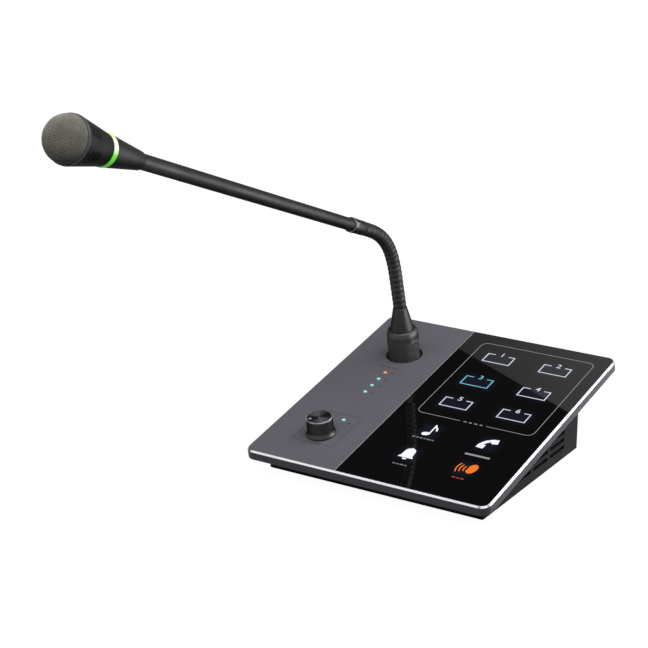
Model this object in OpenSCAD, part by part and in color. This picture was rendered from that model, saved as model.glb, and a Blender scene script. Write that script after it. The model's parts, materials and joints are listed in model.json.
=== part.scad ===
// Paging call station: a wedge base with a sloping touch panel, a volume knob
// and a gooseneck microphone that plugs into the panel under a knurled ring.
// Millimetres, +Z up, front towards -Y. The origin lies on the table, under the
// centre of the housing.

/* [Top plate] */
// Width of the plate
plate_w = 164; // [160:1:176]
// Length of the plate, measured up its slope
plate_l = 180; // [176:1:196]
// Thickness of the plate at its edge
plate_t = 6; // [5.6:0.1:8]
// Slope of the plate, rear edge high
plate_tilt = 11.3; // [9:0.1:13]
// Corner radius of the plate
plate_corner = 6; // [4:0.5:9]
// Bright chamfer round the top edge
plate_chamfer = 1; // [0.8:0.1:1.8]
// Skin left over the control pocket
plate_skin = 2.6; // [2:0.1:3]
// Height of the top face at the front edge, above the table
front_height = 16.6; // [16:0.1:22]

/* [Touch panel] */
// Width of the painted strip left of the glass
strip_w = 63.8; // [60:0.5:68]
// Thickness of the touch glass
glass_t = 2; // [1.5:0.1:2.2]
// Bright land left between the chamfer and the glass
glass_land = 0.5; // [0.3:0.1:1.2]
// Thickness of the light diffuser behind the glass
diffuser_t = 1.2; // [0.8:0.1:1.4]
// Width of the touch board
touch_board_w = 62; // [50:1:64]
// Length of the touch board
touch_board_l = 142; // [120:1:150]
// Thickness of every circuit board
board_t = 1.6; // [1.2:0.1:1.6]

/* [Housing] */
// Width of the housing
housing_w = 145.6; // [142:0.2:150]
// Depth of the housing, front to rear
housing_l = 127.3; // [124:0.1:132]
// Overhang of the plate in front of the housing
front_overhang = 14.1; // [10:0.1:18]
// Wall thickness of the housing
wall = 2.2; // [1.8:0.1:2.6]
// Floor thickness of the housing
floor_t = 2.2; // [2:0.1:3]
// Radius of the upright corners
housing_corner = 1.6; // [1.2:0.1:6]
// Radius of the upright corners inside
inner_corner = 1; // [0.6:0.1:2]
// Chamfer along the bottom edge
housing_edge = 0.3; // [0.2:0.1:0.5]
// Length of a side vent slot
vent_l = 20; // [12:0.5:21]
// Height of a side vent slot
vent_h = 2.2; // [1.2:0.1:2.4]
// Spacing of the vent columns
vent_step_y = 23; // [22:0.5:25]
// Spacing of the vent rows
vent_step_z = 4.9; // [4:0.1:6]
// Height of the lowest vent above the bottom of the housing
vent_first_z = 7.8; // [6:0.1:9]
// Distance from the rear wall to the rear vent column
vent_rear = 20.5; // [16:0.5:24]

/* [Feet and screws] */
// Diameter of a rubber foot
foot_d = 14; // [10:0.5:16]
// Height of a foot below the housing
foot_h = 2; // [1.5:0.1:3]
// Depth of the seat that a foot is glued into
foot_seat = 0.6; // [0.4:0.1:1]
// Distance of the feet from the sides
foot_in_x = 19; // [17:0.5:24]
// Distance of the feet from the front and rear
foot_in_y = 15; // [12:0.5:20]
// Diameter of a screw shank
screw_d = 3; // [2.5:0.1:3]
// Diameter of a screw head
screw_head_d = 5.5; // [5:0.1:5.6]
// Height of a screw head
screw_head_h = 2.2; // [1.6:0.1:2.4]
// Depth of a housing screw in the plate
screw_bite = 3; // [2.4:0.1:3.2]
// Wall left over a housing screw's head
screw_seat = 4; // [3:0.1:4.5]
// Diameter of a control board screw's shank
small_screw_d = 1.5; // [1.2:0.1:2]
// Diameter of a control board screw's head
small_head_d = 3.6; // [3:0.1:4]
// Height of a control board screw's head
small_head_h = 1.1; // [0.8:0.1:1.6]
// Length of a control board screw's shank
small_screw_l = 5.6; // [4.5:0.1:6.5]
// Diameter of a housing screw post
post_d = 9; // [8:0.1:10]

/* [Boards and jacks] */
// Width of the main board
main_board_w = 110; // [100:1:112]
// Depth of the main board
main_board_l = 68; // [64:1:76]
// Height of the posts under the main board
main_post_h = 6; // [4:0.5:7]
// Diameter of the board posts
board_post_d = 6.5; // [5.5:0.1:7]
// Distance of the board screws from the board's edges
board_screw_in = 5; // [4:0.5:7]
// Width of the control board under the strip
control_board_w = 25; // [24:0.5:27]
// Length of the control board
control_board_l = 96; // [92:1:97]
// Distance from the plate's front edge to the middle of the control board
control_board_v = 69; // [67:0.5:70]
// Depth of the control board below the top face
control_board_h = 9; // [8.9:0.1:10]
// Diameter of the bosses that the control board hangs on
control_post_d = 5; // [4:0.1:5.4]
// Distance of the control board's screws from its long edges
control_screw_in = 3.8; // [3.5:0.1:4.5]
// Width of a line jack
jack_w = 16; // [15.5:0.1:17]
// Height of a line jack
jack_h = 13.4; // [13:0.1:15]
// Depth of a line jack
jack_l = 16; // [15:0.1:20]
// Width of a jack's plug opening
jack_open_w = 11.9; // [11.7:0.1:12.2]
// Height of a jack's plug opening
jack_open_h = 7; // [6.6:0.1:7.4]
// Width of a jack's latch notch
jack_latch_w = 6.2; // [6:0.1:6.8]
// Height of a jack's latch notch
jack_latch_h = 2.4; // [2:0.1:2.8]
// Depth of a jack's plug opening
jack_open_l = 13; // [12:0.1:14]
// Distance of the jacks' middle from the main board's right edge
jack_x = 27; // [24:1:36]
// Spacing of the jacks
jack_step = 22; // [18:0.5:26]
// Width of the flat cable between the boards
ribbon_w = 20; // [12:1:24]
// Thickness of the flat cable
ribbon_t = 1; // [0.8:0.1:1.2]
// Distance from the plate's front edge to the flat cable
ribbon_v = 100; // [90:1:112]
// Depth of the flat cable's header on the main board
header_l = 6; // [5:0.5:8]
// Height of the flat cable's header on the main board
header_h = 5; // [4:0.5:8]

/* [Controls] */
// Distance of the control column from the plate's left edge
column_in = 34.8; // [34:0.1:36]
// Distance of the knob from the plate's front edge
knob_v = 33.1; // [32:0.1:36]
// Diameter of the knob's skirt
knob_skirt_d = 18.4; // [18:0.1:20]
// Diameter of the knob's grip
knob_d = 16.5; // [15:0.1:17]
// Height of the knob above the plate
knob_h = 12; // [10:0.1:14]
// Gap under the knob
knob_gap = 0.5; // [0.3:0.1:0.8]
// Height of the flared skirt
knob_skirt_h = 4; // [3:0.1:5]
// Height of the skirt's upright lip
knob_lip = 0.6; // [0.3:0.1:0.8]
// Diameter of the metal disc on the knob
knob_cap_d = 14.1; // [13:0.1:14.4]
// Thickness of the metal disc on the knob
knob_cap_t = 0.8; // [0.5:0.1:1]
// Diameter of the white pointer dot
pointer_d = 1.5; // [1:0.1:2]
// Distance of the pointer dot from the knob's axis
pointer_r = 5.6; // [4:0.1:5.7]
// Angle of the pointer dot at rest, from the right-hand side
pointer_angle = 225; // [215:1:240]
// Diameter of the potentiometer's shaft
shaft_d = 6; // [5:0.1:6]
// Diameter of the potentiometer's threaded bush
bush_d = 7; // [7:0.1:7.6]
// Height of the bush above the plate
bush_h = 3.5; // [3:0.1:3.8]
// Diameter of the potentiometer
pot_d = 16; // [14:0.1:17]
// Width of the potentiometer's nut across its flats
nut_w = 10; // [9:0.1:10.2]
// Thickness of the potentiometer's nut
nut_t = 2; // [1.6:0.1:2.4]
// Diameter of an indicator light
light_d = 3; // [2.4:0.1:3.2]
// Height of an indicator light above the plate
light_rise = 0.5; // [0.2:0.1:0.8]
// Distance of the first level light in front of the microphone socket
light_v = 50.2; // [48:0.1:54]
// Spacing of the level lights
light_step = 8.4; // [7:0.1:8.6]
// Number of level lights, without the signal light above them
level_count = 3; // [2:1:3]
// Distance of the power light to the right of the column
power_light_x = 4.8; // [2:0.1:6]
// Distance of the power light behind the knob's axis
power_light_v = 18.6; // [16:0.1:21]

/* [Microphone socket] */
// Distance of the socket from the plate's front edge
mic_v = 136.1; // [135:0.1:138]
// Diameter of the locking ring's knurled band
ring_d = 20.6; // [20.4:0.1:21.4]
// Diameter of the ring's smooth band
ring_top_d = 20.4; // [19.6:0.1:20.4]
// Depth of the ring below the plate's top face
ring_low = 1.2; // [0.8:0.1:2]
// Height of the knurled band above the plate
ring_knurl_h = 12.6; // [11:0.1:13.5]
// Height of the ring above the plate
ring_h = 18.6; // [17.5:0.1:20]
// Height of the ring's rounded shoulder
ring_shoulder = 4.4; // [3:0.1:4.6]
// Radius of that shoulder's rounding
ring_round = 8; // [8:0.1:9]
// Width of the dark gap round the ring in the plate
ring_reveal = 1.4; // [0.6:0.1:1.6]
// Diameter of the socket's threaded barrel
barrel_d = 16.8; // [16.4:0.1:17.2]
// Height of the barrel above the plate
barrel_h = 7; // [6:0.1:8]
// Inner diameter of the barrel
barrel_bore = 13.6; // [13:0.1:14]
// Diameter of the socket's flange
socket_flange_d = 27; // [25:0.1:28]
// Thickness of the socket's flange
socket_flange_t = 2; // [1.6:0.1:2.4]
// Diameter of a contact pin
pin_d = 1.6; // [1.2:0.1:2]
// Distance of the contact pins from the socket's axis
pin_r = 3.6; // [3:0.1:4]
// Height of the contact pins above the plate
pin_h = 3.5; // [2:0.1:4.5]
// Thickness of the plug's flange
plug_flange_t = 2.4; // [2:0.1:3]
// Diameter of the lead from the socket to the control board
lead_d = 3; // [2.4:0.1:3]
// Bend radius of that lead
lead_bend = 3; // [2.5:0.1:3.5]
// Width of that lead's plug under the control board
lead_plug_w = 8; // [6:0.5:10]
// Length of that lead's plug
lead_plug_l = 6; // [5:0.5:8]

/* [Gooseneck] */
// Diameter of the stem where it leaves the ring
stem_d = 15.4; // [14.8:0.1:15.6]
// Height of the stem's cylinder above the ring
stem_step = 0.6; // [0.2:0.1:1.5]
// Height of the stem's tip above the plate
stem_h = 34.8; // [32:0.1:38]
// Diameter of the stem's tip
stem_tip_d = 9; // [8.6:0.1:9.6]
// Diameter of the neck over its ribs
neck_d = 8.5; // [8.2:0.1:8.8]
// Spacing of the ribs
rib_step = 3.8; // [3.6:0.1:4.4]
// Width of the groove between two ribs
rib_gap = 1.2; // [1.1:0.05:1.4]
// Crown of each rib above its edges
rib_crown = 0.25; // [0.15:0.05:0.4]
// Ribs on each stiff section of the neck
section_ribs = 2; // [2:1:2]
// Diameter of the ball between two sections
ball_d = 7; // [6.4:0.1:7.2]
// Diameter of the cable way through the neck
cable_way = 3.4; // [2.4:0.1:3.6]
// Lean of the neck where it leaves the stem, away from the plate's normal
neck_lean = 3.8; // [0:0.1:6]
// Lean of the arm, away from the plate's normal
arm_lean = 56.9; // [40:0.1:62]
// Section at which the bend begins
bend_start = 2.55; // [2:0.05:3]
// Section at which the bend ends
bend_end = 10.35; // [10:0.05:11]

/* [Arm] */
// Length of the ferrule between neck and tube
ferrule_l = 15.6; // [13:0.1:20]
// Diameter of the ferrule's sleeve
ferrule_d = 8.9; // [8.7:0.1:9.4]
// Diameter of the ferrule's raised band
ferrule_band_d = 9.3; // [9:0.1:10]
// Length of the ferrule's raised band
ferrule_band_l = 5; // [3:0.1:6]
// Length of the tube between ferrule and head
tube_l = 218; // [150:1:260]
// Diameter of the tube at the ferrule
tube_d = 7.7; // [7.2:0.1:7.8]
// Diameter of the tube at the head
tube_end_d = 8.4; // [7.8:0.1:8.6]
// Wall of the tube
tube_wall = 0.9; // [0.6:0.1:1.2]
// Depth to which the tube is pressed into the ferrule and the head
tube_grip = 8; // [6:0.5:9]

/* [Head] */
// Length of the tapering head adapter
adapter_l = 28.3; // [24:0.1:36]
// Diameter of the adapter at the tube
adapter_d = 10; // [9.5:0.1:11]
// Diameter of the adapter at the light ring
adapter_end_d = 17; // [15.5:0.1:17]
// Diameter of the light ring
halo_d = 17.5; // [17.2:0.1:18.6]
// Width of the light ring
halo_w = 3.4; // [2.6:0.1:4]
// Diameter of the shell at the light ring
shell_d = 17.2; // [16.6:0.1:17.6]
// Diameter of the shell at its rim
rim_d = 25.6; // [24.6:0.1:26.4]
// Length of the shell
shell_l = 24; // [20:0.1:28]
// Width of the rim that holds the grille
rim_w = 1.8; // [1.2:0.1:2.4]
// Wall of the shell
shell_wall = 1.5; // [1.2:0.1:1.8]
// Floor of the shell behind the capsule
shell_floor = 2; // [1.5:0.1:3]
// Wall of the light ring
halo_wall = 2.6; // [2:0.1:3.2]
// Height of the grille's dome above its rim
dome_h = 11.9; // [10:0.1:12]
// Thickness of the grille
grille_t = 0.8; // [0.6:0.1:1]
// Step of the grille inside the rim
grille_step = 0.4; // [0.2:0.1:0.6]
// Slot groups round the shell
slot_groups = 6; // [4:2:6]
// Slots in each group
slot_rows = 3; // [2:1:4]
// Spacing of the slots along the shell
slot_step = 3; // [2.6:0.1:3.4]
// Width of a slot
slot_w = 1.3; // [1:0.1:1.6]
// Length of a slot, as an angle round the shell
slot_angle = 28; // [20:1:40]
// Distance of the first slot from the rim
slot_first = 2.1; // [1.6:0.1:4]
// Diameter of the microphone capsule
capsule_d = 14; // [10:0.1:15]
// Length of the capsule
capsule_l = 7; // [5:0.1:8]
// Thickness of the rubber ring that holds the capsule
capsule_ring_t = 4; // [3:0.1:5]
// Thickness of the foam disc in the grille
foam_t = 4; // [2:0.1:5]

/* [Hidden] */
$fn = 64;

// Clearances
fit_gap = 0.15;
run_gap = 0.05;
turn_gap = 0.3;
ball_gap = 0.12;
pocket_gap = 1;
// Small broken edges
edge = 0.4;
// Overlap of a cutting shape past the face that it cuts
cut = 1;
// Depth to which a post merges into the wall or floor beside it
merge = 0.5;

// Places on the plate, in its own frame: x to the right, v up the slope, h off the top face
plate_y = -housing_l / 2 - front_overhang;
column_x = column_in - plate_w / 2;
seam_x = strip_w - plate_w / 2;
glass_rim = plate_chamfer + glass_land;
glass_mid_x = (seam_x + plate_w / 2 - glass_rim) / 2;
touch_depth = glass_t + diffuser_t + board_t + fit_gap;
bush_hole_d = bush_d + 2 * fit_gap;
light_hole_d = light_d + 2 * run_gap;
ring_hole_d = ring_d + 2 * ring_reveal;
ring_bore_d = barrel_d + 2 * turn_gap;
ring_lip_d = stem_d + 2 * turn_gap;
nut_corner_d = nut_w / cos(30);
shaft_top = knob_h - knob_cap_t - pocket_gap;
pot_floor = 1;
pin_stub = 1;
first_light_v = mic_v - light_v;
signal_light_v = first_light_v + level_count * light_step;

// Height of the plate's underside over the table at a place y
function under_z(y) = front_height - plate_t / cos(plate_tilt) + (y - plate_y) * tan(plate_tilt);

// Housing
post_x = housing_w / 2 - wall - post_d / 2 + merge;
post_y = housing_l / 2 - wall - post_d / 2 + merge;
housing_top = under_z(housing_l / 2) + cut;
floor_z = foot_h + floor_t;
main_board_z = floor_z + main_post_h;
main_board_y = housing_l / 2 - wall - main_board_l / 2 - pocket_gap;
main_screw_l = main_post_h + board_t - merge;
vent_y = housing_l / 2 - vent_rear - vent_l / 2;
vent_cols = 3;
jack_proud = 0.4;

// Neck: each section leans by its own angle, so the sections follow a smooth bend
neck_count = 11;
section_l = section_ribs * rib_step;
neck_base_h = stem_h + rib_gap / 2;
function ease(t) = t <= 0 ? 0 : t >= 1 ? 1 : t * t * (3 - 2 * t);
function lean(i) =
  neck_lean + (arm_lean - neck_lean) * ease((i + 0.5 - bend_start) / (bend_end - bend_start));
// Place of joint i along the neck, as [v, h] from the socket's axis on the plate
function joint(i) = i == 0 ? [0, neck_base_h]
  : joint(i - 1) + section_l * [-sin(lean(i - 1)), cos(lean(i - 1))];

// Places along the arm, from the last joint of the neck
ferrule_z = rib_gap / 2;
tube_z = ferrule_z + ferrule_l;
adapter_z = tube_z + tube_l;
halo_z = adapter_z + adapter_l;
shell_z = halo_z + halo_w;
rim_z = shell_z + shell_l;
dome_z = rim_z + rim_w;
halo_core_d = halo_d - 2 * halo_wall;
grille_d = rim_d - 2 * grille_step;
function shell_r(z) = shell_d / 2 + (rim_d - shell_d) / 2 * z / shell_l;
rim_bore_d = grille_d - 4 * grille_t;
capsule_z = rim_z - capsule_l - pocket_gap;
ring_board_t = 1;

// Frames
module on_plate() {
  translate([0, plate_y, front_height]) rotate([plate_tilt, 0, 0]) children();
}

module at_column(v) {
  on_plate() translate([column_x, v, 0]) children();
}

module on_neck(i) {
  at_column(mic_v) translate([0, joint(i)[0], joint(i)[1]]) rotate([lean(i), 0, 0]) children();
}

module on_arm(z) {
  at_column(mic_v)
    translate([0, joint(neck_count)[0], joint(neck_count)[1]])
      rotate([arm_lean, 0, 0]) translate([0, 0, z]) children();
}

// Shapes that repeat
module round_rect(w, l, r) {
  square([w - 2 * r, l], center = true);
  square([w, l - 2 * r], center = true);
  for (x = [-1, 1], y = [-1, 1]) translate([x * (w / 2 - r), y * (l / 2 - r)]) circle(r);
}

function edge_profile(half, t, c) =
  [[-half, -t], [half, -t], [half, -c], [half - c, 0], [c - half, 0], [-half, -c]];

// Slab with round corners and a chamfer round its top, top face at z = 0
module slab(w, l, t, r, c) {
  rotate([90, 0, 0]) linear_extrude(l - 2 * r, center = true) polygon(edge_profile(w / 2, t, c));
  rotate([90, 0, 90]) linear_extrude(w - 2 * r, center = true) polygon(edge_profile(l / 2, t, c));
  for (x = [-1, 1], y = [-1, 1]) translate([x * (w / 2 - r), y * (l / 2 - r), 0])
    rotate_extrude() polygon([[0, -t], [r, -t], [r, -c], [r - c, 0], [0, 0]]);
}

module tube(d, bore, h) {
  difference() {
    cylinder(d = d, h = h);
    translate([0, 0, -cut]) cylinder(d = bore, h = h + 2 * cut);
  }
}

// Pan-head screw, shank up, seat of the head at z = 0
module screw(l) {
  cylinder(d = screw_d, h = l);
  translate([0, 0, -screw_head_h]) cylinder(d = screw_head_d, h = screw_head_h);
}

// Outline of the glass, grown by g for its recess
module glass_outline(g) {
  inset = glass_rim - g;
  translate([0, plate_l / 2]) intersection() {
    round_rect(plate_w - 2 * inset, plate_l - 2 * inset, plate_corner - inset);
    translate([seam_x - g, -plate_l / 2]) square([plate_w, plate_l]);
  }
}

module touch_outline(g) {
  translate([glass_mid_x, plate_l / 2])
    square([touch_board_w + 2 * g, touch_board_l + 2 * g], center = true);
}

module housing_corners() {
  for (x = [-1, 1], y = [-1, 1]) translate([x * post_x, y * post_y, 0]) children();
}

// Holes of the housing screws in what lies over the housing, wider than a screw by g all round
module screw_ways(g) {
  for (x = [-1, 1], y = [-1, 1]) translate([x * post_x, y * post_y, under_z(y * post_y) - 2 * cut])
    cylinder(d = screw_d + 2 * g, h = screw_bite + 2 * cut);
}

module main_board_corners() {
  for (x = [-1, 1], y = [-1, 1])
    translate([
      x * (main_board_w / 2 - board_screw_in),
      main_board_y + y * (main_board_l / 2 - board_screw_in),
      0
    ]) children();
}

module control_board_corners() {
  for (x = [-1, 1], y = [-1, 1])
    at_column(control_board_v + y * (control_board_l / 2 - board_screw_in))
      translate([x * (control_board_w / 2 - control_screw_in), 0, 0]) children();
}

// Wedge with the housing's outline, drawn in by g from its walls, from z0 to the plate
module wedge(g, z0, corner) {
  intersection() {
    translate([0, 0, z0]) mirror([0, 0, 1])
      slab(
        housing_w - 2 * g, housing_l - 2 * g, housing_top - z0, corner, housing_edge
      );
    rotate([90, 0, 90]) linear_extrude(housing_w, center = true)
      polygon([
        [-housing_l / 2, 0], [housing_l / 2, 0],
        [housing_l / 2, under_z(housing_l / 2)], [-housing_l / 2, under_z(-housing_l / 2)]
      ]);
  }
}

// Base
module housing_vents() {
  for (side = [-1, 1], i = [0 : vent_cols - 1]) {
    y = vent_y - i * vent_step_y;
    room = under_z(y - vent_l / 2) - wall - foot_h - vent_first_z - vent_h / 2;
    for (k = [0 : floor(room / vent_step_z)])
      translate([side * housing_w / 2, y, foot_h + vent_first_z + k * vent_step_z])
        cube([2 * wall + cut, vent_l, vent_h], center = true);
  }
}

module jack_at(i) {
  x = main_board_w / 2 - jack_x + (i - 0.5) * jack_step;
  translate([x, housing_l / 2 + jack_proud, main_board_z + board_t]) children();
}

module housing() {
  color([0.13, 0.13, 0.14]) difference() {
    union() {
      difference() {
        wedge(0, foot_h, housing_corner);
        wedge(wall, floor_z, inner_corner);
        housing_vents();
      }
      intersection() {
        wedge(wall / 2, foot_h, inner_corner);
        housing_corners() cylinder(d = post_d, h = housing_top);
      }
      main_board_corners() translate([0, 0, floor_z - merge])
        cylinder(d = board_post_d, h = main_post_h + merge);
    }
    housing_corners() cylinder(d = screw_d + 2 * fit_gap, h = housing_top);
    for (x = [-1, 1], y = [-1, 1]) translate([x * post_x, y * post_y, 0])
      cylinder(d = screw_head_d + 2 * fit_gap, h = under_z(y * post_y) - screw_seat);
    main_board_corners() translate([0, 0, floor_z])
      cylinder(d = screw_d + 2 * run_gap, h = main_post_h + cut);
    for (x = [-1, 1], y = [-1, 1]) translate([
      x * (housing_w / 2 - foot_in_x), y * (housing_l / 2 - foot_in_y), foot_h - cut
    ])
      cylinder(d = foot_d + 2 * run_gap, h = foot_seat + cut);
    for (i = [0, 1]) jack_at(i)
      translate([-jack_w / 2 - fit_gap, -wall - jack_proud - cut, -fit_gap])
        cube([jack_w + 2 * fit_gap, wall + 2 * cut + jack_proud, jack_h + 2 * fit_gap]);
    lead_path(edge);
  }
}

module rubber_feet() {
  color([0.08, 0.08, 0.08]) for (x = [-1, 1], y = [-1, 1])
    translate([x * (housing_w / 2 - foot_in_x), y * (housing_l / 2 - foot_in_y), 0]) {
      cylinder(d1 = foot_d - foot_h, d2 = foot_d, h = foot_h / 2);
      translate([0, 0, foot_h / 2]) cylinder(d = foot_d, h = foot_h / 2 + foot_seat);
    }
}

module housing_screws() {
  color([0.55, 0.55, 0.57]) for (x = [-1, 1], y = [-1, 1])
    translate([x * post_x, y * post_y, under_z(y * post_y) - screw_seat])
      screw(screw_seat + screw_bite - merge);
}

module main_board() {
  color([0.05, 0.3, 0.16]) difference() {
    translate([-main_board_w / 2, main_board_y - main_board_l / 2, main_board_z])
      cube([main_board_w, main_board_l, board_t]);
    main_board_corners() cylinder(d = screw_d + 2 * fit_gap, h = housing_top);
  }
}

module main_board_screws() {
  color([0.55, 0.55, 0.57]) main_board_corners()
    translate([0, 0, main_board_z + board_t]) mirror([0, 0, 1]) screw(main_screw_l);
}

module line_jack(i) {
  latch_z = (jack_h - jack_open_h - jack_latch_h) / 2;
  color([0.6, 0.61, 0.63]) jack_at(i) difference() {
    translate([-jack_w / 2, -jack_l, 0]) cube([jack_w, jack_l, jack_h]);
    translate([-jack_open_w / 2, -jack_open_l, latch_z + jack_latch_h])
      cube([jack_open_w, jack_open_l + cut, jack_open_h]);
    translate([-jack_latch_w / 2, -jack_open_l, latch_z])
      cube([jack_latch_w, jack_open_l + cut, jack_latch_h + cut]);
  }
}

module line_jack_a() { line_jack(0); }

module line_jack_b() { line_jack(1); }

module control_pocket() {
  translate([
    column_x - control_board_w / 2 - pocket_gap,
    control_board_v - control_board_l / 2 - pocket_gap,
    -plate_t - cut
  ])
    cube([
      control_board_w + 2 * pocket_gap, control_board_l + 2 * pocket_gap,
      plate_t + cut - plate_skin
    ]);
}

module light_places() {
  for (i = [0 : level_count]) at_column(first_light_v + i * light_step) children();
  at_column(knob_v + power_light_v) translate([power_light_x, 0, 0]) children();
}

module top_plate() {
  color([0.36, 0.36, 0.4]) difference() {
    union() {
      difference() {
        on_plate() translate([0, plate_l / 2, 0])
          slab(plate_w, plate_l, plate_t, plate_corner, plate_chamfer);
        on_plate() control_pocket();
      }
      control_board_corners() translate([0, 0, -control_board_h])
        cylinder(d = control_post_d, h = control_board_h - plate_skin + merge);
    }
    on_plate() {
      translate([0, 0, -glass_t]) linear_extrude(glass_t + cut) glass_outline(fit_gap);
      translate([0, 0, -touch_depth]) linear_extrude(touch_depth) touch_outline(fit_gap);
      translate([glass_mid_x, ribbon_v, -plate_t])
        cube(
          [ribbon_w + 2 * pocket_gap, ribbon_t + 3 * pocket_gap, 2 * (plate_t - glass_t)],
          center = true
        );
    }
    at_column(mic_v) {
      translate([0, 0, -plate_t]) cylinder(d = ring_hole_d, h = plate_t + cut);
      translate([0, 0, -plate_t - cut])
        cylinder(d = socket_flange_d + 2 * fit_gap, h = socket_flange_t + cut);
    }
    at_column(knob_v) translate([0, 0, -plate_t]) cylinder(d = bush_hole_d, h = plate_t + cut);
    light_places() translate([0, 0, -plate_t]) cylinder(d = light_hole_d, h = plate_t + cut);
    screw_ways(run_gap);
    control_board_corners() translate([0, 0, -control_board_h - cut])
      cylinder(d = small_screw_d + 2 * run_gap, h = cut + small_screw_l - board_t + merge);
  }
}

module touch_glass() {
  color([0.03, 0.03, 0.035]) on_plate() translate([0, 0, -glass_t])
    linear_extrude(glass_t) glass_outline(0);
}

module light_diffuser() {
  color([0.9, 0.92, 0.94]) on_plate() translate([0, 0, -glass_t - diffuser_t])
    linear_extrude(diffuser_t) touch_outline(0);
}

module touch_board() {
  color([0.05, 0.3, 0.16]) difference() {
    on_plate() translate([0, 0, -glass_t - diffuser_t - board_t])
      linear_extrude(board_t) touch_outline(0);
    screw_ways(fit_gap);
  }
}

// The flat cable drops from the touch board to the main board
module panel_cable() {
  top = touch_depth - fit_gap;
  y = plate_y + ribbon_v * cos(plate_tilt) + top * sin(plate_tilt);
  z_top = front_height + ribbon_v * sin(plate_tilt) - top * cos(plate_tilt);
  z_low = main_board_z + board_t;
  slant = ribbon_t * tan(plate_tilt) / 2;
  color([0.75, 0.75, 0.72]) translate([glass_mid_x, y, 0]) {
    rotate([90, 0, 90]) linear_extrude(ribbon_w, center = true)
      polygon([
        [-ribbon_t / 2, z_low], [ribbon_t / 2, z_low],
        [ribbon_t / 2, z_top + slant], [-ribbon_t / 2, z_top - slant]
      ]);
    translate([-ribbon_w / 2 - pocket_gap, -header_l / 2, z_low])
      cube([ribbon_w + 2 * pocket_gap, header_l, header_h]);
  }
}

module control_board() {
  color([0.05, 0.3, 0.16]) difference() {
    at_column(control_board_v)
      translate([-control_board_w / 2, -control_board_l / 2, -control_board_h - board_t])
        cube([control_board_w, control_board_l, board_t]);
    control_board_corners() translate([0, 0, -control_board_h - board_t - cut])
      cylinder(d = small_screw_d + 2 * fit_gap, h = board_t + 2 * cut);
  }
}

module control_board_screws() {
  color([0.55, 0.55, 0.57]) control_board_corners() translate([0, 0, -control_board_h - board_t]) {
    cylinder(d = small_screw_d, h = small_screw_l);
    translate([0, 0, -small_head_h]) cylinder(d = small_head_d, h = small_head_h);
  }
}

module volume_pot() {
  color([0.5, 0.51, 0.53]) at_column(knob_v) difference() {
    union() {
      translate([0, 0, -control_board_h]) cylinder(d = pot_d, h = control_board_h - plate_skin);
      translate([0, 0, -control_board_h]) cylinder(d = bush_d, h = control_board_h + bush_h);
    }
    translate([0, 0, pot_floor - control_board_h])
      cylinder(d = shaft_d + 2 * run_gap, h = control_board_h + bush_h);
  }
}

module pot_nut() {
  color([0.6, 0.6, 0.62]) at_column(knob_v) difference() {
    cylinder(d = nut_corner_d, h = nut_t, $fn = 6);
    translate([0, 0, -cut]) cylinder(d = bush_d + 2 * run_gap, h = nut_t + 2 * cut);
  }
}

module pot_shaft() {
  low = pot_floor + run_gap - control_board_h;
  color([0.7, 0.7, 0.72]) at_column(knob_v) translate([0, 0, low])
    cylinder(d = shaft_d, h = shaft_top - low);
}

module volume_knob() {
  bevel = (knob_d - knob_cap_d) / 4;
  lip_top = knob_gap + knob_lip;
  flare_w = (knob_skirt_d - knob_d) / 2;
  flare_r = (pow(flare_w, 2) + pow(knob_skirt_h - lip_top, 2)) / (2 * flare_w);
  color([0.1, 0.1, 0.11]) at_column(knob_v) difference() {
    rotate_extrude() difference() {
      polygon([
        [0, knob_gap], [knob_skirt_d / 2, knob_gap], [knob_skirt_d / 2, lip_top],
        [knob_d / 2, knob_skirt_h], [knob_d / 2, knob_h - bevel], [knob_d / 2 - bevel, knob_h],
        [0, knob_h]
      ]);
      translate([knob_d / 2 + flare_r, knob_skirt_h]) circle(flare_r);
    }
    cylinder(d = nut_corner_d + 4 * turn_gap, h = bush_h + 2 * turn_gap);
    cylinder(d = shaft_d + 2 * run_gap, h = shaft_top + run_gap);
    translate([0, 0, knob_h - knob_cap_t])
      cylinder(d = knob_cap_d + 2 * run_gap, h = knob_cap_t + cut);
  }
}

module at_pointer() {
  at_column(knob_v) rotate([0, 0, pointer_angle])
    translate([pointer_r, 0, knob_h - knob_cap_t]) children();
}

module knob_cap() {
  color([0.28, 0.28, 0.3]) difference() {
    at_column(knob_v) translate([0, 0, knob_h - knob_cap_t])
      cylinder(d = knob_cap_d, h = knob_cap_t);
    at_pointer() translate([0, 0, -cut])
      cylinder(d = pointer_d + 2 * run_gap, h = knob_cap_t + 2 * cut);
  }
}

module knob_pointer() {
  color([0.95, 0.95, 0.95]) at_pointer() cylinder(d = pointer_d, h = knob_cap_t);
}

// Round light with a domed tip, standing on the control board
module light() {
  dome_r = (pow(light_d / 2, 2) + pow(light_rise, 2)) / (2 * light_rise);
  translate([0, 0, -control_board_h]) cylinder(d = light_d, h = control_board_h);
  translate([0, 0, -control_board_h]) cylinder(d = light_d + 2 * edge, h = 2 * edge);
  intersection() {
    translate([0, 0, light_rise - dome_r]) sphere(r = dome_r);
    cylinder(d = light_d, h = light_rise + cut);
  }
}

module level_lights() {
  color([0.35, 0.9, 0.95]) for (i = [0 : level_count - 1])
    at_column(first_light_v + i * light_step) light();
}

module signal_light() {
  color([1, 0.6, 0.2]) at_column(signal_light_v) light();
}

module power_light() {
  color([0.35, 0.9, 0.95]) at_column(knob_v + power_light_v)
    translate([power_light_x, 0, 0]) light();
}

// Microphone socket and stem
module pin_places() {
  for (a = [30, 150, 270]) rotate([0, 0, a]) translate([pin_r, 0, 0]) children();
}

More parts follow.
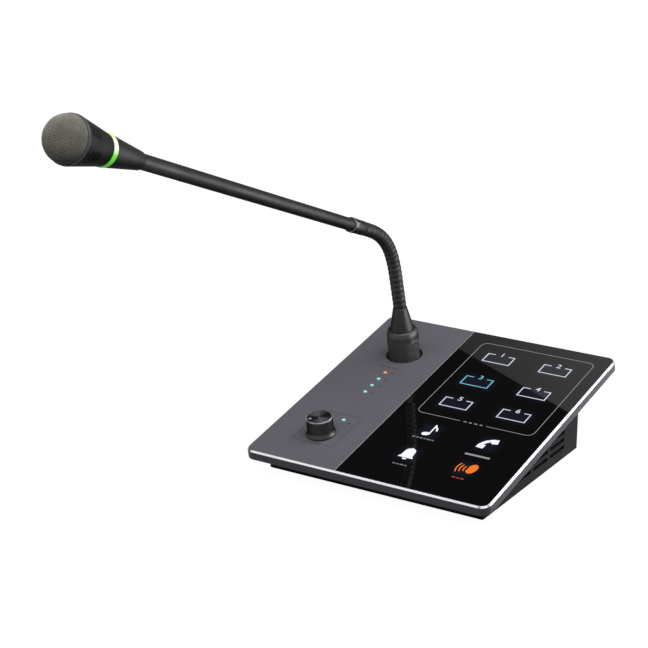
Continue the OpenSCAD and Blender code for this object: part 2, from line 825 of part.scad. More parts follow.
module mic_socket() {
  color([0.3, 0.3, 0.32]) difference() {
    at_column(mic_v) {
      translate([0, 0, -plate_t]) cylinder(d = socket_flange_d, h = socket_flange_t);
      translate([0, 0, -plate_t]) cylinder(d = barrel_d, h = plate_t + barrel_h);
    }
    at_column(mic_v) {
      translate([0, 0, socket_flange_t - plate_t])
        cylinder(d = barrel_bore, h = plate_t + barrel_h);
      translate([0, 0, -plate_t - cut]) pin_places()
        cylinder(d = pin_d + 2 * run_gap, h = plate_t);
    }
    screw_ways(fit_gap);
  }
}

module socket_pins() {
  color([0.85, 0.7, 0.35]) at_column(mic_v) translate([0, 0, -plate_t - pin_stub])
    pin_places() cylinder(d = pin_d, h = plate_t + pin_stub + pin_h);
}

// The lead drops from the socket and runs forward to a plug under the control board; g is added
// all round it where a wall gives way to it
module lead_path(g) {
  board_low = control_board_h + board_t;
  run_h = board_low + edge + lead_d / 2;
  drop = run_h - lead_bend - plate_t;
  board_end = control_board_v + control_board_l / 2;
  run = mic_v - lead_bend - board_end + lead_plug_l;
  at_column(mic_v) {
    translate([0, 0, -plate_t - drop]) cylinder(d = lead_d + 2 * g, h = drop);
    translate([0, -lead_bend, -plate_t - drop]) rotate([-90, 0, 0]) rotate([0, -90, 0])
      rotate_extrude(angle = 90) translate([lead_bend, 0]) circle(d = lead_d + 2 * g);
    translate([0, -lead_bend, -run_h]) rotate([90, 0, 0]) cylinder(d = lead_d + 2 * g, h = run);
    translate([-lead_plug_w / 2 - g, -lead_bend - run - g, -run_h - lead_d / 2 - edge - g])
      cube([
        lead_plug_w + 2 * g, lead_plug_l + 2 * g, run_h + lead_d / 2 + edge + g - board_low
      ]);
  }
}

module mic_lead() {
  color([0.15, 0.15, 0.16]) lead_path(0);
}

module mic_plug() {
  color([0.2, 0.2, 0.22]) at_column(mic_v) difference() {
    union() {
      translate([0, 0, socket_flange_t - plate_t + turn_gap])
        cylinder(d = barrel_bore - 2 * fit_gap, h = plate_t - socket_flange_t - turn_gap + barrel_h);
      translate([0, 0, barrel_h]) cylinder(d = barrel_d, h = plug_flange_t);
    }
    translate([0, 0, -plate_t]) pin_places()
      cylinder(d = pin_d + 2 * fit_gap, h = plate_t + pin_h + fit_gap);
    translate([0, 0, pin_h + pocket_gap]) cylinder(d = cable_way, h = barrel_h);
  }
}

module lock_ring() {
  lip_z = barrel_h + plug_flange_t + turn_gap;
  shoulder_z = ring_h - ring_shoulder;
  color([0.12, 0.12, 0.13]) at_column(mic_v) rotate_extrude() difference() {
    union() {
      polygon([
        [0, -ring_low], [ring_d / 2 - edge, -ring_low], [ring_d / 2, edge - ring_low],
        [ring_d / 2, ring_knurl_h - edge], [ring_top_d / 2, ring_knurl_h],
        [ring_top_d / 2, shoulder_z], [0, shoulder_z]
      ]);
      intersection() {
        translate([ring_top_d / 2 - ring_round, shoulder_z]) circle(ring_round);
        translate([0, ring_knurl_h]) square([ring_d, ring_h - ring_knurl_h]);
      }
    }
    translate([0, -ring_low - cut]) square([ring_bore_d / 2, lip_z + ring_low + cut]);
    square([ring_lip_d / 2, ring_h + cut]);
  }
}

// Half profile of the ball at the top of a section, centred on its joint
module ball_profile() {
  intersection() {
    circle(d = ball_d);
    translate([0, -rib_gap]) square([ball_d, rib_gap + ball_d]);
  }
}

module stem_cone() {
  base = barrel_h + plug_flange_t;
  color([0.13, 0.13, 0.14]) at_column(mic_v) rotate_extrude() difference() {
    union() {
      polygon([
        [0, base], [stem_d / 2, base], [stem_d / 2, ring_h + stem_step],
        [stem_tip_d / 2, stem_h - edge], [stem_tip_d / 2 - edge, stem_h], [0, stem_h]
      ]);
      translate([0, neck_base_h]) ball_profile();
    }
    translate([0, base - cut]) square([cable_way / 2, neck_base_h + ball_d - base]);
  }
}

// One stiff section: crowned ribs on a core, a cup below and a ball on top
module neck_section(i) {
  rib_w = rib_step - rib_gap;
  crown_r = (pow(rib_w / 2, 2) + pow(rib_crown, 2)) / (2 * rib_crown);
  color([0.15, 0.15, 0.16]) on_neck(i - 1) rotate_extrude() difference() {
    union() {
      translate([0, rib_gap / 2]) square([ball_d / 2, section_l - rib_gap]);
      for (k = [0 : section_ribs - 1]) translate([0, (k + 0.5) * rib_step]) intersection() {
        translate([neck_d / 2 - crown_r, 0]) circle(crown_r);
        translate([0, -rib_w / 2]) square([neck_d, rib_w]);
      }
      translate([0, section_l]) ball_profile();
    }
    circle(d = ball_d + 2 * ball_gap);
    translate([0, -cut]) square([cable_way / 2, section_l + ball_d]);
  }
}

// Arm
module arm_ferrule() {
  bore = tube_d + 2 * run_gap;
  band_z = ferrule_l - ferrule_band_l;
  color([0.13, 0.13, 0.14]) on_arm(0) rotate_extrude() difference() {
    polygon([
      [0, ferrule_z], [ferrule_d / 2 - edge, ferrule_z], [ferrule_d / 2, ferrule_z + edge],
      [ferrule_d / 2, band_z], [ferrule_band_d / 2, band_z + edge],
      [ferrule_band_d / 2, tube_z - 2 * edge], [tube_d / 2 + edge, tube_z], [0, tube_z]
    ]);
    circle(d = ball_d + 2 * ball_gap);
    translate([0, -cut]) square([cable_way / 2, tube_z + 2 * cut]);
    translate([0, tube_z - tube_grip]) square([bore / 2, tube_grip + cut]);
  }
}

module arm_tube() {
  color([0.13, 0.13, 0.14]) on_arm(0) rotate_extrude() polygon([
    [tube_d / 2 - tube_wall, tube_z - tube_grip], [tube_d / 2, tube_z - tube_grip],
    [tube_d / 2, tube_z], [tube_end_d / 2, adapter_z], [tube_end_d / 2, adapter_z + tube_grip],
    [tube_end_d / 2 - tube_wall, adapter_z + tube_grip], [tube_end_d / 2 - tube_wall, adapter_z],
    [tube_d / 2 - tube_wall, tube_z]
  ]);
}

module head_adapter() {
  color([0.13, 0.13, 0.14]) on_arm(adapter_z) rotate_extrude() difference() {
    polygon([
      [0, 0], [adapter_d / 2 - edge, 0], [adapter_d / 2, edge],
      [adapter_end_d / 2, adapter_l], [halo_core_d / 2, adapter_l],
      [halo_core_d / 2, adapter_l + halo_w - ring_board_t], [0, adapter_l + halo_w - ring_board_t]
    ]);
    translate([0, -cut]) square([cable_way / 2, adapter_l + halo_w + 2 * cut]);
    translate([0, -cut]) square([tube_end_d / 2 + run_gap, tube_grip + cut]);
  }
}

module light_ring() {
  color([0.45, 0.95, 0.2]) on_arm(halo_z) tube(halo_d, halo_core_d + 2 * run_gap, halo_w);
}

module ring_light_board() {
  color([0.05, 0.3, 0.16]) on_arm(shell_z - ring_board_t)
    tube(halo_core_d, cable_way, ring_board_t);
}

module shell_slots() {
  for (g = [0 : slot_groups - 1], k = [0 : slot_rows - 1])
    rotate([0, 0, (g + 0.5) * 360 / slot_groups - slot_angle / 2])
      translate([0, 0, shell_l - slot_first - slot_w - (k + g % 2) * slot_step])
        rotate_extrude(angle = slot_angle) translate([shell_d / 4, 0]) square([rim_d, slot_w]);
}

module head_shell() {
  color([0.13, 0.13, 0.14]) on_arm(shell_z) difference() {
    rotate_extrude() polygon([
      [cable_way / 2, 0], [shell_d / 2, 0], [rim_d / 2, shell_l],
      [rim_d / 2 - shell_wall, shell_l], [shell_r(shell_floor) - shell_wall, shell_floor],
      [cable_way / 2, shell_floor]
    ]);
    shell_slots();
  }
}

module grille_rim() {
  color([0.2, 0.2, 0.22]) on_arm(rim_z) rotate_extrude() polygon([
    [rim_bore_d / 2, 0], [rim_d / 2, 0], [rim_d / 2, rim_w - edge],
    [grille_d / 2, rim_w], [rim_bore_d / 2, rim_w]
  ]);
}

module grille() {
  dome_r = (pow(grille_d / 2, 2) + pow(dome_h, 2)) / (2 * dome_h);
  color([0.35, 0.34, 0.3]) on_arm(dome_z) difference() {
    translate([0, 0, dome_h - dome_r]) sphere(dome_r);
    translate([0, 0, dome_h - dome_r]) sphere(dome_r - grille_t);
    translate([0, 0, -2 * dome_r]) cylinder(r = 2 * dome_r, h = 2 * dome_r);
  }
}

module foam_disc() {
  color([0.1, 0.1, 0.1]) on_arm(rim_z) cylinder(d = rim_bore_d - 2 * fit_gap, h = foam_t);
}

module mic_capsule() {
  color([0.7, 0.71, 0.73]) on_arm(capsule_z) cylinder(d = capsule_d, h = capsule_l);
}

module capsule_ring() {
  low = capsule_z + (capsule_l - capsule_ring_t) / 2;
  gap = shell_wall + fit_gap;
  color([0.1, 0.1, 0.1]) on_arm(low) difference() {
    cylinder(
      r1 = shell_r(low - shell_z) - gap, r2 = shell_r(low - shell_z + capsule_ring_t) - gap,
      h = capsule_ring_t
    );
    translate([0, 0, -cut]) cylinder(d = capsule_d + 2 * run_gap, h = capsule_ring_t + 2 * cut);
  }
}

housing();
rubber_feet();
housing_screws();
main_board();
main_board_screws();
line_jack_a();
line_jack_b();
top_plate();
touch_glass();
light_diffuser();
touch_board();
panel_cable();
control_board();
control_board_screws();
volume_pot();
pot_nut();
pot_shaft();
volume_knob();
knob_cap();
knob_pointer();
level_lights();
signal_light();
power_light();
mic_socket();
socket_pins();
mic_lead();
mic_plug();
lock_ring();
stem_cone();
for (i = [1 : neck_count])
  neck_section(i);
arm_ferrule();
arm_tube();
head_adapter();
light_ring();
ring_light_board();
head_shell();
grille_rim();
grille();
foam_disc();
mic_capsule();
capsule_ring();
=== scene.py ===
import json
import math

import bmesh
import bpy
from mathutils import Matrix, Vector


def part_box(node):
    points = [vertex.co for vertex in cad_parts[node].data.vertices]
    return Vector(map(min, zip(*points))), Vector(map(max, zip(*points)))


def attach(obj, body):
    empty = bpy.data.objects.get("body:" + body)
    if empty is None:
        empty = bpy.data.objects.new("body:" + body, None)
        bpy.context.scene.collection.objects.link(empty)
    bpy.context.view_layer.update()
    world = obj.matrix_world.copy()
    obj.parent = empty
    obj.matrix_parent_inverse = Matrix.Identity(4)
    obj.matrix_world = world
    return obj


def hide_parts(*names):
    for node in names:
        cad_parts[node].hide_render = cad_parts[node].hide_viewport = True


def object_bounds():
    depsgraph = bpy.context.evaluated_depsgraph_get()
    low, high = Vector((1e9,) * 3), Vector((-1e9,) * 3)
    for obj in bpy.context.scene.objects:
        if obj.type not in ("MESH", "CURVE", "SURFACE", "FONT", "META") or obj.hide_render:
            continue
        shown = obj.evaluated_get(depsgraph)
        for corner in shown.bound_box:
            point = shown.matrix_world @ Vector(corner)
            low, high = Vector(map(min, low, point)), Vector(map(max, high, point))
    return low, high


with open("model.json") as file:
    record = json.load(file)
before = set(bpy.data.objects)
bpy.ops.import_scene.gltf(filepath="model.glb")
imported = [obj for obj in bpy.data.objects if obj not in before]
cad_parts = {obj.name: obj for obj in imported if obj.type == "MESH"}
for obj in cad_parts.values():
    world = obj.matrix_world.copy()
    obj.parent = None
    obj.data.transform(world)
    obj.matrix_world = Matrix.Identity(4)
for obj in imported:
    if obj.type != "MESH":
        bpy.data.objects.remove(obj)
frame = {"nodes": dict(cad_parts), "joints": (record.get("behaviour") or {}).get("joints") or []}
cad_box = [list(corner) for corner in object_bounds()]

# Studio: the camera stands at the front right, as in the photograph. The wide pale floor has low walls
# and reads white to the camera and in reflections. Soft boxes and a side card light the cut edges and
# the black metal. The world is dim, as the glass mirrors it, and a card gives the glass a pale corner.
scene = bpy.context.scene
scene.view_settings.view_transform = "Standard"
camera = bpy.data.objects.new("camera", bpy.data.cameras.new("camera"))
camera.data.lens = 103.35
camera.data.sensor_width = 36.0
camera.location = (0.50774, -0.92914, 0.44702)
camera_drop = math.radians(18.74)
camera_turn = math.radians(32.03)
camera.rotation_euler = (math.pi / 2 - camera_drop, 0.0, camera_turn)
scene.collection.objects.link(camera)
scene.camera = camera


def feed(tree, value, socket):
    if isinstance(value, bpy.types.NodeSocket):
        tree.links.new(value, socket)
    else:
        socket.default_value = value


def treat(tree, surface, **inputs):
    for name, value in inputs.items():
        feed(tree, value, surface[name.replace("_", " ")])


def put(tree, kind, settings=None, **inputs):
    made = tree.nodes.new("ShaderNode" + kind)
    for name, value in (settings or {}).items():
        setattr(made, name, value)
    treat(tree, made.inputs, **inputs)
    return made


def calc(tree, operation, *values):
    made = put(tree, "Math", {"operation": operation})
    for value, socket in zip(values, made.inputs):
        feed(tree, value, socket)
    return made.outputs[0]


def measure(tree, operation, *values):
    made = put(tree, "VectorMath", {"operation": operation})
    for value, socket in zip(values, made.inputs):
        feed(tree, value, socket)
    return made.outputs["Value"]


def remap(tree, value, low, high, to_low=0.0, to_high=1.0):
    made = put(tree, "MapRange", Value=value, From_Min=low, From_Max=high, To_Min=to_low, To_Max=to_high)
    return made.outputs["Result"]


def new_finish(name):
    material = bpy.data.materials.new(name)
    material.use_nodes = True
    tree = material.node_tree
    return material, tree, tree.nodes["Principled BSDF"].inputs


def object_spot(tree):
    return put(tree, "TexCoord").outputs["Object"]


def white_to_eye(tree):
    path = put(tree, "LightPath").outputs
    seen = calc(tree, "MAXIMUM", path["Is Camera Ray"], path["Is Glossy Ray"])
    return calc(tree, "MAXIMUM", seen, path["Is Transmission Ray"])


black = (0.0, 0.0, 0.0, 1.0)
white = (1.0, 1.0, 1.0, 1.0)
floor_half = 9.0
floor_mesh = bpy.data.meshes.new("floor")
wall_height = 1.6
floor_spans = ((-1, -1), (1, -1), (1, 1), (-1, 1))
floor_corners = [(x * floor_half, y * floor_half, z) for z in (0.0, wall_height) for x, y in floor_spans]
floor_walls = [(side, side + 4, (side + 1) % 4 + 4, (side + 1) % 4) for side in range(4)]
floor_mesh.from_pydata(floor_corners, [], [(0, 1, 2, 3)] + floor_walls)
floor = bpy.data.objects.new("floor", floor_mesh)
floor.location.z = cad_box[0][2] - 0.0002
scene.collection.objects.link(floor)
floor_paint, tree, surface = new_finish("floor paint")
floor_white = remap(tree, measure(tree, "LENGTH", object_spot(tree)), 0.2, 0.6, 0.97, 1.0)
treat(tree, surface, Base_Color=(0.1, 0.1, 0.1, 1.0), Roughness=0.9, Specular_IOR_Level=0.0,
      Emission_Color=white, Emission_Strength=calc(tree, "MULTIPLY", floor_white, white_to_eye(tree)))
floor_mesh.materials.append(floor_paint)

world = bpy.data.worlds.new("studio")
world.use_nodes = True
world.node_tree.nodes["Background"].inputs["Color"].default_value = (0.02, 0.02, 0.022, 1.0)
scene.world = world


def soft_box(name, place, aim, width, height, radiance):
    lamp = bpy.data.lights.new(name, "AREA")
    lamp.shape = "RECTANGLE"
    lamp.size = width
    lamp.size_y = height
    lamp.energy = radiance * math.pi * width * height
    box = bpy.data.objects.new(name, lamp)
    box.location = place
    box.rotation_euler = (Vector(place) - Vector(aim)).to_track_quat("Z", "Y").to_euler()
    box.visible_camera = False
    scene.collection.objects.link(box)


station_middle = (0.0, 0.0, 0.05)
soft_box("front_left_box", (-0.85, -1.05, 1.05), station_middle, 1.0, 0.8, 2.2)
soft_box("back_right_box", (0.95, 0.85, 1.2), station_middle, 1.4, 1.1, 1.9)
soft_box("back_low_box", (0.44, 1.2, 0.18), (-0.045, -0.1, 0.26), 0.5, 0.34, 7.0)
soft_box("overhead_box", (0.3, -0.35, 1.05), station_middle, 1.2, 1.0, 3.4)


def stage_card(name, corners):
    mesh = bpy.data.meshes.new(name)
    mesh.from_pydata(corners, [], [(0, 1, 2, 3)])
    card = bpy.data.objects.new(name, mesh)
    card.visible_camera = card.visible_diffuse = card.visible_shadow = False
    scene.collection.objects.link(card)
    paint, tree, surface = new_finish(name + " paint")
    treat(tree, surface, Base_Color=black, Emission_Color=white)
    mesh.materials.append(paint)
    return card, tree, surface


card_start = Vector((-0.38, 0.698, 0.687))
card_across = Vector((0.956, -0.25, 0.152)).normalized()
card_down = Vector((0.259, 0.679, -0.514)).normalized()
card_half_w = 0.45
card_depth = 0.45
card_dim = 0.032
card_side = card_across * card_half_w
card_drop = card_down * card_depth
card_spans = ((-1, 0), (1, 0), (1, 1), (-1, 1))
card_corners = [card_start + card_side * aside + card_drop * below for aside, below in card_spans]
card, tree, surface = stage_card("card", card_corners)
card_shade = 0.0
for axis, low, high, strength in ((card_across, -0.1, 0.12, 0.14), (card_down, 0.0, 0.08, 0.076)):
    along = measure(tree, "DOT_PRODUCT", object_spot(tree), axis)
    start = card_start.dot(axis)
    card_ramp = remap(tree, along, start + low, start + high, card_dim, strength)
    card_shade = calc(tree, "ADD", card_shade, card_ramp)
treat(tree, surface, Emission_Strength=card_shade)

side_card_x = 0.25
side_card_y = (0.03, 0.4)
side_card_z = (0.0, 0.2)
side_card_light = 7.5
side_turns = ((0, 0), (1, 0), (1, 1), (0, 1))
side_corners = [(side_card_x, side_card_y[a], side_card_z[b]) for a, b in side_turns]
side_card, tree, surface = stage_card("side card", side_corners)
treat(tree, surface, Emission_Strength=side_card_light)

# Housing: a black tray moulded in textured plastic, open at the top, with vent slots in its
# sides. It is screwed to the plate from below and stands on four feet.
MM = 0.001


def linear(red, green, blue):
    def light(level):
        share = level / 255
        return share / 12.92 if share <= 0.04045 else ((share + 0.055) / 1.055) ** 2.4
    return (light(red), light(green), light(blue), 1.0)


def new_group(title, inputs, outputs):
    group = bpy.data.node_groups.new(title, "ShaderNodeTree")
    for name, value in inputs.items():
        entry = group.interface.new_socket(name, in_out="INPUT", socket_type="NodeSocketFloat")
        entry.default_value = value
    for name in outputs:
        group.interface.new_socket(name, in_out="OUTPUT", socket_type="NodeSocketFloat")
    given = group.nodes.new("NodeGroupInput").outputs
    result = group.nodes.new("NodeGroupOutput").inputs
    return group, given, result


def use(tree, group, **inputs):
    return put(tree, "Group", {"node_tree": group}, **inputs).outputs


def noise(tree, scale, detail=2.0, place=None):
    spot = place or object_spot(tree)
    return put(tree, "TexNoise", Vector=spot, Scale=scale, Detail=detail).outputs["Fac"]


def vary(tree, cloud, low, high):
    return remap(tree, cloud, 0.3, 0.7, low, high)


def toned(tree, colour, tone):
    return put(tree, "MixRGB", {"blend_type": "MULTIPLY"}, Fac=1.0, Color1=colour, Color2=tone).outputs[0]


def blend(tree, mask, under, over):
    return put(tree, "MixRGB", Fac=mask, Color1=under, Color2=over).outputs[0]


def raise_bump(tree, surface, height, depth_mm):
    bump = put(tree, "Bump", Strength=1.0, Distance=depth_mm * MM, Height=height)
    treat(tree, surface, Normal=bump.outputs["Normal"])
    return bump


moulded_grain, given, result = new_group("moulded grain", {"Grain size": 0.6}, ("Height", "Tone"))
grain_scale = calc(moulded_grain, "DIVIDE", 1000.0, given["Grain size"])
grain_place = object_spot(moulded_grain)
pebble = put(moulded_grain, "TexVoronoi", Vector=grain_place, Scale=grain_scale).outputs["Distance"]
haze = noise(moulded_grain, grain_scale, 3.0, grain_place)
feed(moulded_grain, calc(moulded_grain, "ADD", pebble, haze), result["Height"])
drift = noise(moulded_grain, 40.0, 2.0, grain_place)
feed(moulded_grain, vary(moulded_grain, drift, 0.86, 1.12), result["Tone"])

# Lightened edges: partly wear chips, partly a painted highlight where rims and lips catch light.
worn_highlit_edge, given, result = new_group("worn edge and painted highlight", {"Width": 0.3, "Rub": 0.5}, ("Edge",))
edge_radius = calc(worn_highlit_edge, "MULTIPLY", given["Width"], MM)
soft_normal = put(worn_highlit_edge, "Bevel", {"samples": 6}, Radius=edge_radius).outputs["Normal"]
bare_normal = put(worn_highlit_edge, "NewGeometry").outputs["Normal"]
edge_turn = measure(worn_highlit_edge, "DOT_PRODUCT", soft_normal, bare_normal)
edge_mask = remap(worn_highlit_edge, edge_turn, 0.995, 0.9)
edge_chips = remap(worn_highlit_edge, noise(worn_highlit_edge, 900.0, 4.0), 0.35, 0.65)
edge_wear_and_highlight = calc(worn_highlit_edge, "MULTIPLY", edge_mask, edge_chips)
feed(worn_highlit_edge, calc(worn_highlit_edge, "MULTIPLY", edge_wear_and_highlight, given["Rub"]), result["Edge"])

handling, given, result = new_group("handling", {"Gloss": 0.4, "Spread": 0.06}, ("Roughness",))
touch_cloud = remap(handling, noise(handling, 55.0, 5.0), 0.32, 0.68)
touch_lift = calc(handling, "MULTIPLY", calc(handling, "SUBTRACT", touch_cloud, 0.5), given["Spread"])
feed(handling, calc(handling, "ADD", given["Gloss"], touch_lift), result["Roughness"])


def dress(finish, *nodes):
    for node in nodes:
        mesh = frame["nodes"][node].data
        mesh.materials.clear()
        mesh.materials.append(finish)


def moulded_plastic(name, colour, gloss, grain_mm, depth_mm, wear_and_sheen=0.35, shine=0.3):
    material, tree, surface = new_finish(name)
    grain = use(tree, moulded_grain, Grain_size=grain_mm)
    edge = use(tree, worn_highlit_edge, Width=0.3, Rub=wear_and_sheen)["Edge"]
    # Edges are lightened, partly as wear and partly as a painted highlight.
    light_edge = [min(1.0, part * 2.2 + 0.01) for part in colour[:3]] + [1.0]
    grained = toned(tree, colour, grain["Tone"])
    treat(tree, surface, Base_Color=blend(tree, edge, grained, light_edge),
          Roughness=use(tree, handling, Gloss=gloss, Spread=0.1)["Roughness"], Specular_IOR_Level=shine)
    raise_bump(tree, surface, grain["Height"], depth_mm)
    return material


tray_finish = moulded_plastic("textured black plastic", linear(29, 29, 30), gloss=0.62, grain_mm=0.55,
                              depth_mm=0.05, wear_and_sheen=0.3, shine=0.05)
dress(tray_finish, "housing")

# Feet: four turned pads of soft black rubber, pressed into shallow seats under the housing.
# They are dull, a little dusty, and finely pitted.
rubber_finish, tree, surface = new_finish("black rubber")
rubber_dust = remap(tree, noise(tree, 240.0, 5.0), 0.5, 0.75, 0.0, 0.35)
treat(tree, surface, Base_Color=blend(tree, rubber_dust, linear(24, 24, 24), linear(58, 56, 53)),
      Roughness=0.82, Specular_IOR_Level=0.25)
raise_bump(tree, surface, noise(tree, 2600.0, 3.0), 0.04)
dress(rubber_finish, "rubber_feet", "capsule_ring")

# Screws: steel pan heads with a zinc finish, turned and rolled. The long ones hold the housing
# to the plate, the short ones hold the boards on their posts.
def clouded_metal(name, cloud_scale, detail, dark, light, gloss, metal=1.0, depth_mm=0.01):
    material, tree, surface = new_finish(name)
    cloud = noise(tree, cloud_scale, detail)
    treat(tree, surface, Base_Color=blend(tree, cloud, dark, light), Metallic=metal,
          Roughness=vary(tree, cloud, *gloss))
    if depth_mm:
        raise_bump(tree, surface, cloud, depth_mm)
    return material


screw_colours = (linear(128, 130, 134), linear(176, 176, 172))
screw_finish = clouded_metal("zinc screw steel", 700.0, 4.0, *screw_colours, (0.28, 0.45))
dress(screw_finish, "housing_screws", "main_board_screws", "control_board_screws", "pot_nut")

# Boards: glass-fibre boards with green solder mask, etched tracks under it and a woven core that
# shows faintly. They carry the jacks, the lights and the touch areas.
board_finish, tree, surface = new_finish("green board")
board_spot = object_spot(tree)
board_bands = {"wave_type": "BANDS", "bands_direction": "DIAGONAL"}
board_weave = put(tree, "TexWave", board_bands, Vector=board_spot, Scale=420.0).outputs["Fac"]
board_tracks = put(tree, "TexBrick", Vector=board_spot, Scale=160.0, Mortar_Size=0.06).outputs["Fac"]
board_mask = blend(tree, board_tracks, linear(16, 74, 44), linear(40, 112, 66))
board_tone = remap(tree, board_weave, 0.0, 1.0, 0.9, 1.05)
treat(tree, surface, Base_Color=toned(tree, board_mask, board_tone), Roughness=0.32)
raise_bump(tree, surface, board_tracks, 0.02)
dress(board_finish, "main_board", "touch_board", "control_board", "ring_light_board")

# Line jacks: two shielded sockets in the rear wall, folded from tinned sheet, with eight sprung
# contact wires in each. They stand on the main board.
shield_finish, tree, surface = new_finish("tinned jack shield")
shield_grain = put(tree, "Mapping", Vector=object_spot(tree), Scale=(200.0, 6000.0, 200.0))
shield_brush = noise(tree, 1.0, 3.0, shield_grain.outputs["Vector"])
shield_tone = vary(tree, shield_brush, 0.85, 1.1)
treat(tree, surface, Base_Color=toned(tree, linear(172, 174, 176), shield_tone), Metallic=1.0,
      Roughness=vary(tree, shield_brush, 0.24, 0.4))
raise_bump(tree, surface, shield_brush, 0.008)
dress(shield_finish, "line_jack_a", "line_jack_b")

gold_finish, tree, surface = new_finish("gold contact")
gold_colour = blend(tree, noise(tree, 900.0), linear(206, 166, 84), linear(228, 196, 122))
treat(tree, surface, Base_Color=gold_colour, Metallic=1.0,
      Roughness=vary(tree, noise(tree, 500.0, 4.0), 0.2, 0.34))
dress(gold_finish, "socket_pins")


def add_piece(name, shape, finish, body, place=None, sharp_deg=32.0):
    mesh = bpy.data.meshes.new(name)
    bmesh.ops.recalc_face_normals(shape, faces=shape.faces)
    shape.to_mesh(mesh)
    shape.free()
    mesh.shade_smooth()
    mesh.set_sharp_from_angle(angle=math.radians(sharp_deg))
    mesh.materials.append(finish)
    piece = bpy.data.objects.new(name, mesh)
    scene.collection.objects.link(piece)
    if place is not None:
        piece.matrix_world = place
    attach(piece, body)
    return piece


def bridge(shape, ring, after):
    for side in range(len(ring)):
        other = (side + 1) % len(ring)
        shape.faces.new((ring[side], ring[other], after[other], after[side]))


def add_tube(shape, points, radius, sides):
    rings = []
    for index, point in enumerate(points):
        ahead = points[min(index + 1, len(points) - 1)] - points[max(index - 1, 0)]
        turn = ahead.to_track_quat("Z", "Y")
        ring = []
        for side in range(sides):
            angle = 2 * math.pi * (side + 0.5) / sides
            offset = Vector((math.cos(angle) * radius, math.sin(angle) * radius, 0.0))
            ring.append(shape.verts.new(point + turn @ offset))
        rings.append(ring)
    for ring, after in zip(rings, rings[1:]):
        bridge(shape, ring, after)
    shape.faces.new(rings[0][::-1])
    shape.faces.new(rings[-1])


contact_count = 8
contact_step = 1.02 * MM
contact_radius = 0.2 * MM
contact_path = ((12.0, 3.6), (9.0, 4.2), (4.2, 5.0), (9.5, 7.2))
for jack in ("line_jack_a", "line_jack_b"):
    low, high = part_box(jack)
    contacts = bmesh.new()
    for count in range(contact_count):
        x = (low.x + high.x) / 2 + (count - (contact_count - 1) / 2) * contact_step
        wire = [Vector((x, high.y - inward * MM, high.z - down * MM)) for inward, down in contact_path]
        add_tube(contacts, wire, contact_radius, 6)
    add_piece(jack + "_contacts", contacts, gold_finish, "base")

# Top plate: a thick aluminium plate with a grey, faintly violet anodised face, blasted before it
# was dyed. Its chamfer is cut bright afterwards, and a thin light line beside the glass pocket is a
# painted highlight.
joints = {joint["name"]: joint for joint in frame["joints"]}
panel_up = -Vector(joints["volume_turn"]["axis"])
across = Vector((1.0, 0.0, 0.0))
panel_back = panel_up.cross(across)
knob_from_front = 33.1
panel_start = Vector(joints["volume_turn"]["pos_m"]) - panel_back * knob_from_front * MM
panel_start.x = 0.0


def frame_at(start, x_axis, y_axis, z_axis):
    return Matrix.Translation(start) @ Matrix((x_axis, y_axis, z_axis)).transposed().to_4x4()


panel_frame = frame_at(panel_start, across, panel_back, panel_up)

panel_place, given, result = new_group("panel place", {}, ("Across", "Along"))
panel_spot = object_spot(panel_place)
for name, axis in (("Across", across), ("Along", panel_back)):
    reach = measure(panel_place, "DOT_PRODUCT", panel_spot, axis)
    from_start = calc(panel_place, "SUBTRACT", reach, panel_start.dot(axis))
    feed(panel_place, calc(panel_place, "DIVIDE", from_start, MM), result[name])

seam_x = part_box("touch_glass")[0].x / MM
plate_finish, tree, surface = new_finish("violet grey anodised")
slope = measure(tree, "DOT_PRODUCT", put(tree, "NewGeometry").outputs["True Normal"], panel_up)
chamfer = calc(tree, "MULTIPLY", remap(tree, slope, 0.5, 0.6), remap(tree, slope, 0.9, 0.8))
# Painted highlight: a thin light line on the flat face along the glass pocket, in place of its edge
# catching light.
from_seam = calc(tree, "SUBTRACT", seam_x, use(tree, panel_place)["Across"])
seam_highlight_band = calc(tree, "MULTIPLY", remap(tree, from_seam, 0.0, 0.05), remap(tree, from_seam, 0.6, 0.35))
painted_seam_highlight = calc(tree, "MULTIPLY", seam_highlight_band, remap(tree, slope, 0.95, 0.99))
blast = noise(tree, 5200.0, 3.0)
dye = vary(tree, noise(tree, 22.0, 3.0), 0.94, 1.05)
blast_tone = calc(tree, "MULTIPLY", dye, vary(tree, blast, 0.92, 1.08))
# Painted shade: the plate's side faces are coloured darker than its top.
side_shade = remap(tree, slope, 0.4, 0.2)
side_shaded_dye = blend(tree, side_shade, linear(100, 98, 105), linear(73, 71, 80))
dye_and_side_shade = toned(tree, side_shaded_dye, blast_tone)
dye_with_seam_highlight = blend(tree, calc(tree, "MULTIPLY", painted_seam_highlight, 0.6), dye_and_side_shade, linear(190, 190, 196))
plate_gloss = use(tree, handling, Gloss=0.46, Spread=0.06)["Roughness"]
treat(tree, surface, Base_Color=blend(tree, chamfer, dye_with_seam_highlight, linear(182, 183, 186)),
      Metallic=calc(tree, "MULTIPLY", chamfer, 0.75), Specular_IOR_Level=0.18,
      Roughness=calc(tree, "SUBTRACT", plate_gloss, calc(tree, "MULTIPLY", chamfer, 0.26)))
soft_edge = put(tree, "Bevel", {"samples": 8}, Radius=0.3 * MM).outputs["Normal"]
plate_bump = raise_bump(tree, surface, blast, 0.012)
feed(tree, soft_edge, plate_bump.inputs["Normal"])
dress(plate_finish, "top_plate")

# Inside the panel: an acrylic light diffuser behind the glass, and a flat ribbon cable from the
# touch board down to the main board. Neither is seen once the station is closed.
diffuser_finish, tree, surface = new_finish("milky diffuser")
milk = blend(tree, noise(tree, 300.0), linear(226, 228, 230), linear(240, 240, 240))
treat(tree, surface, Base_Color=milk, Roughness=0.6)
raise_bump(tree, surface, noise(tree, 3000.0), 0.01)
dress(diffuser_finish, "light_diffuser")

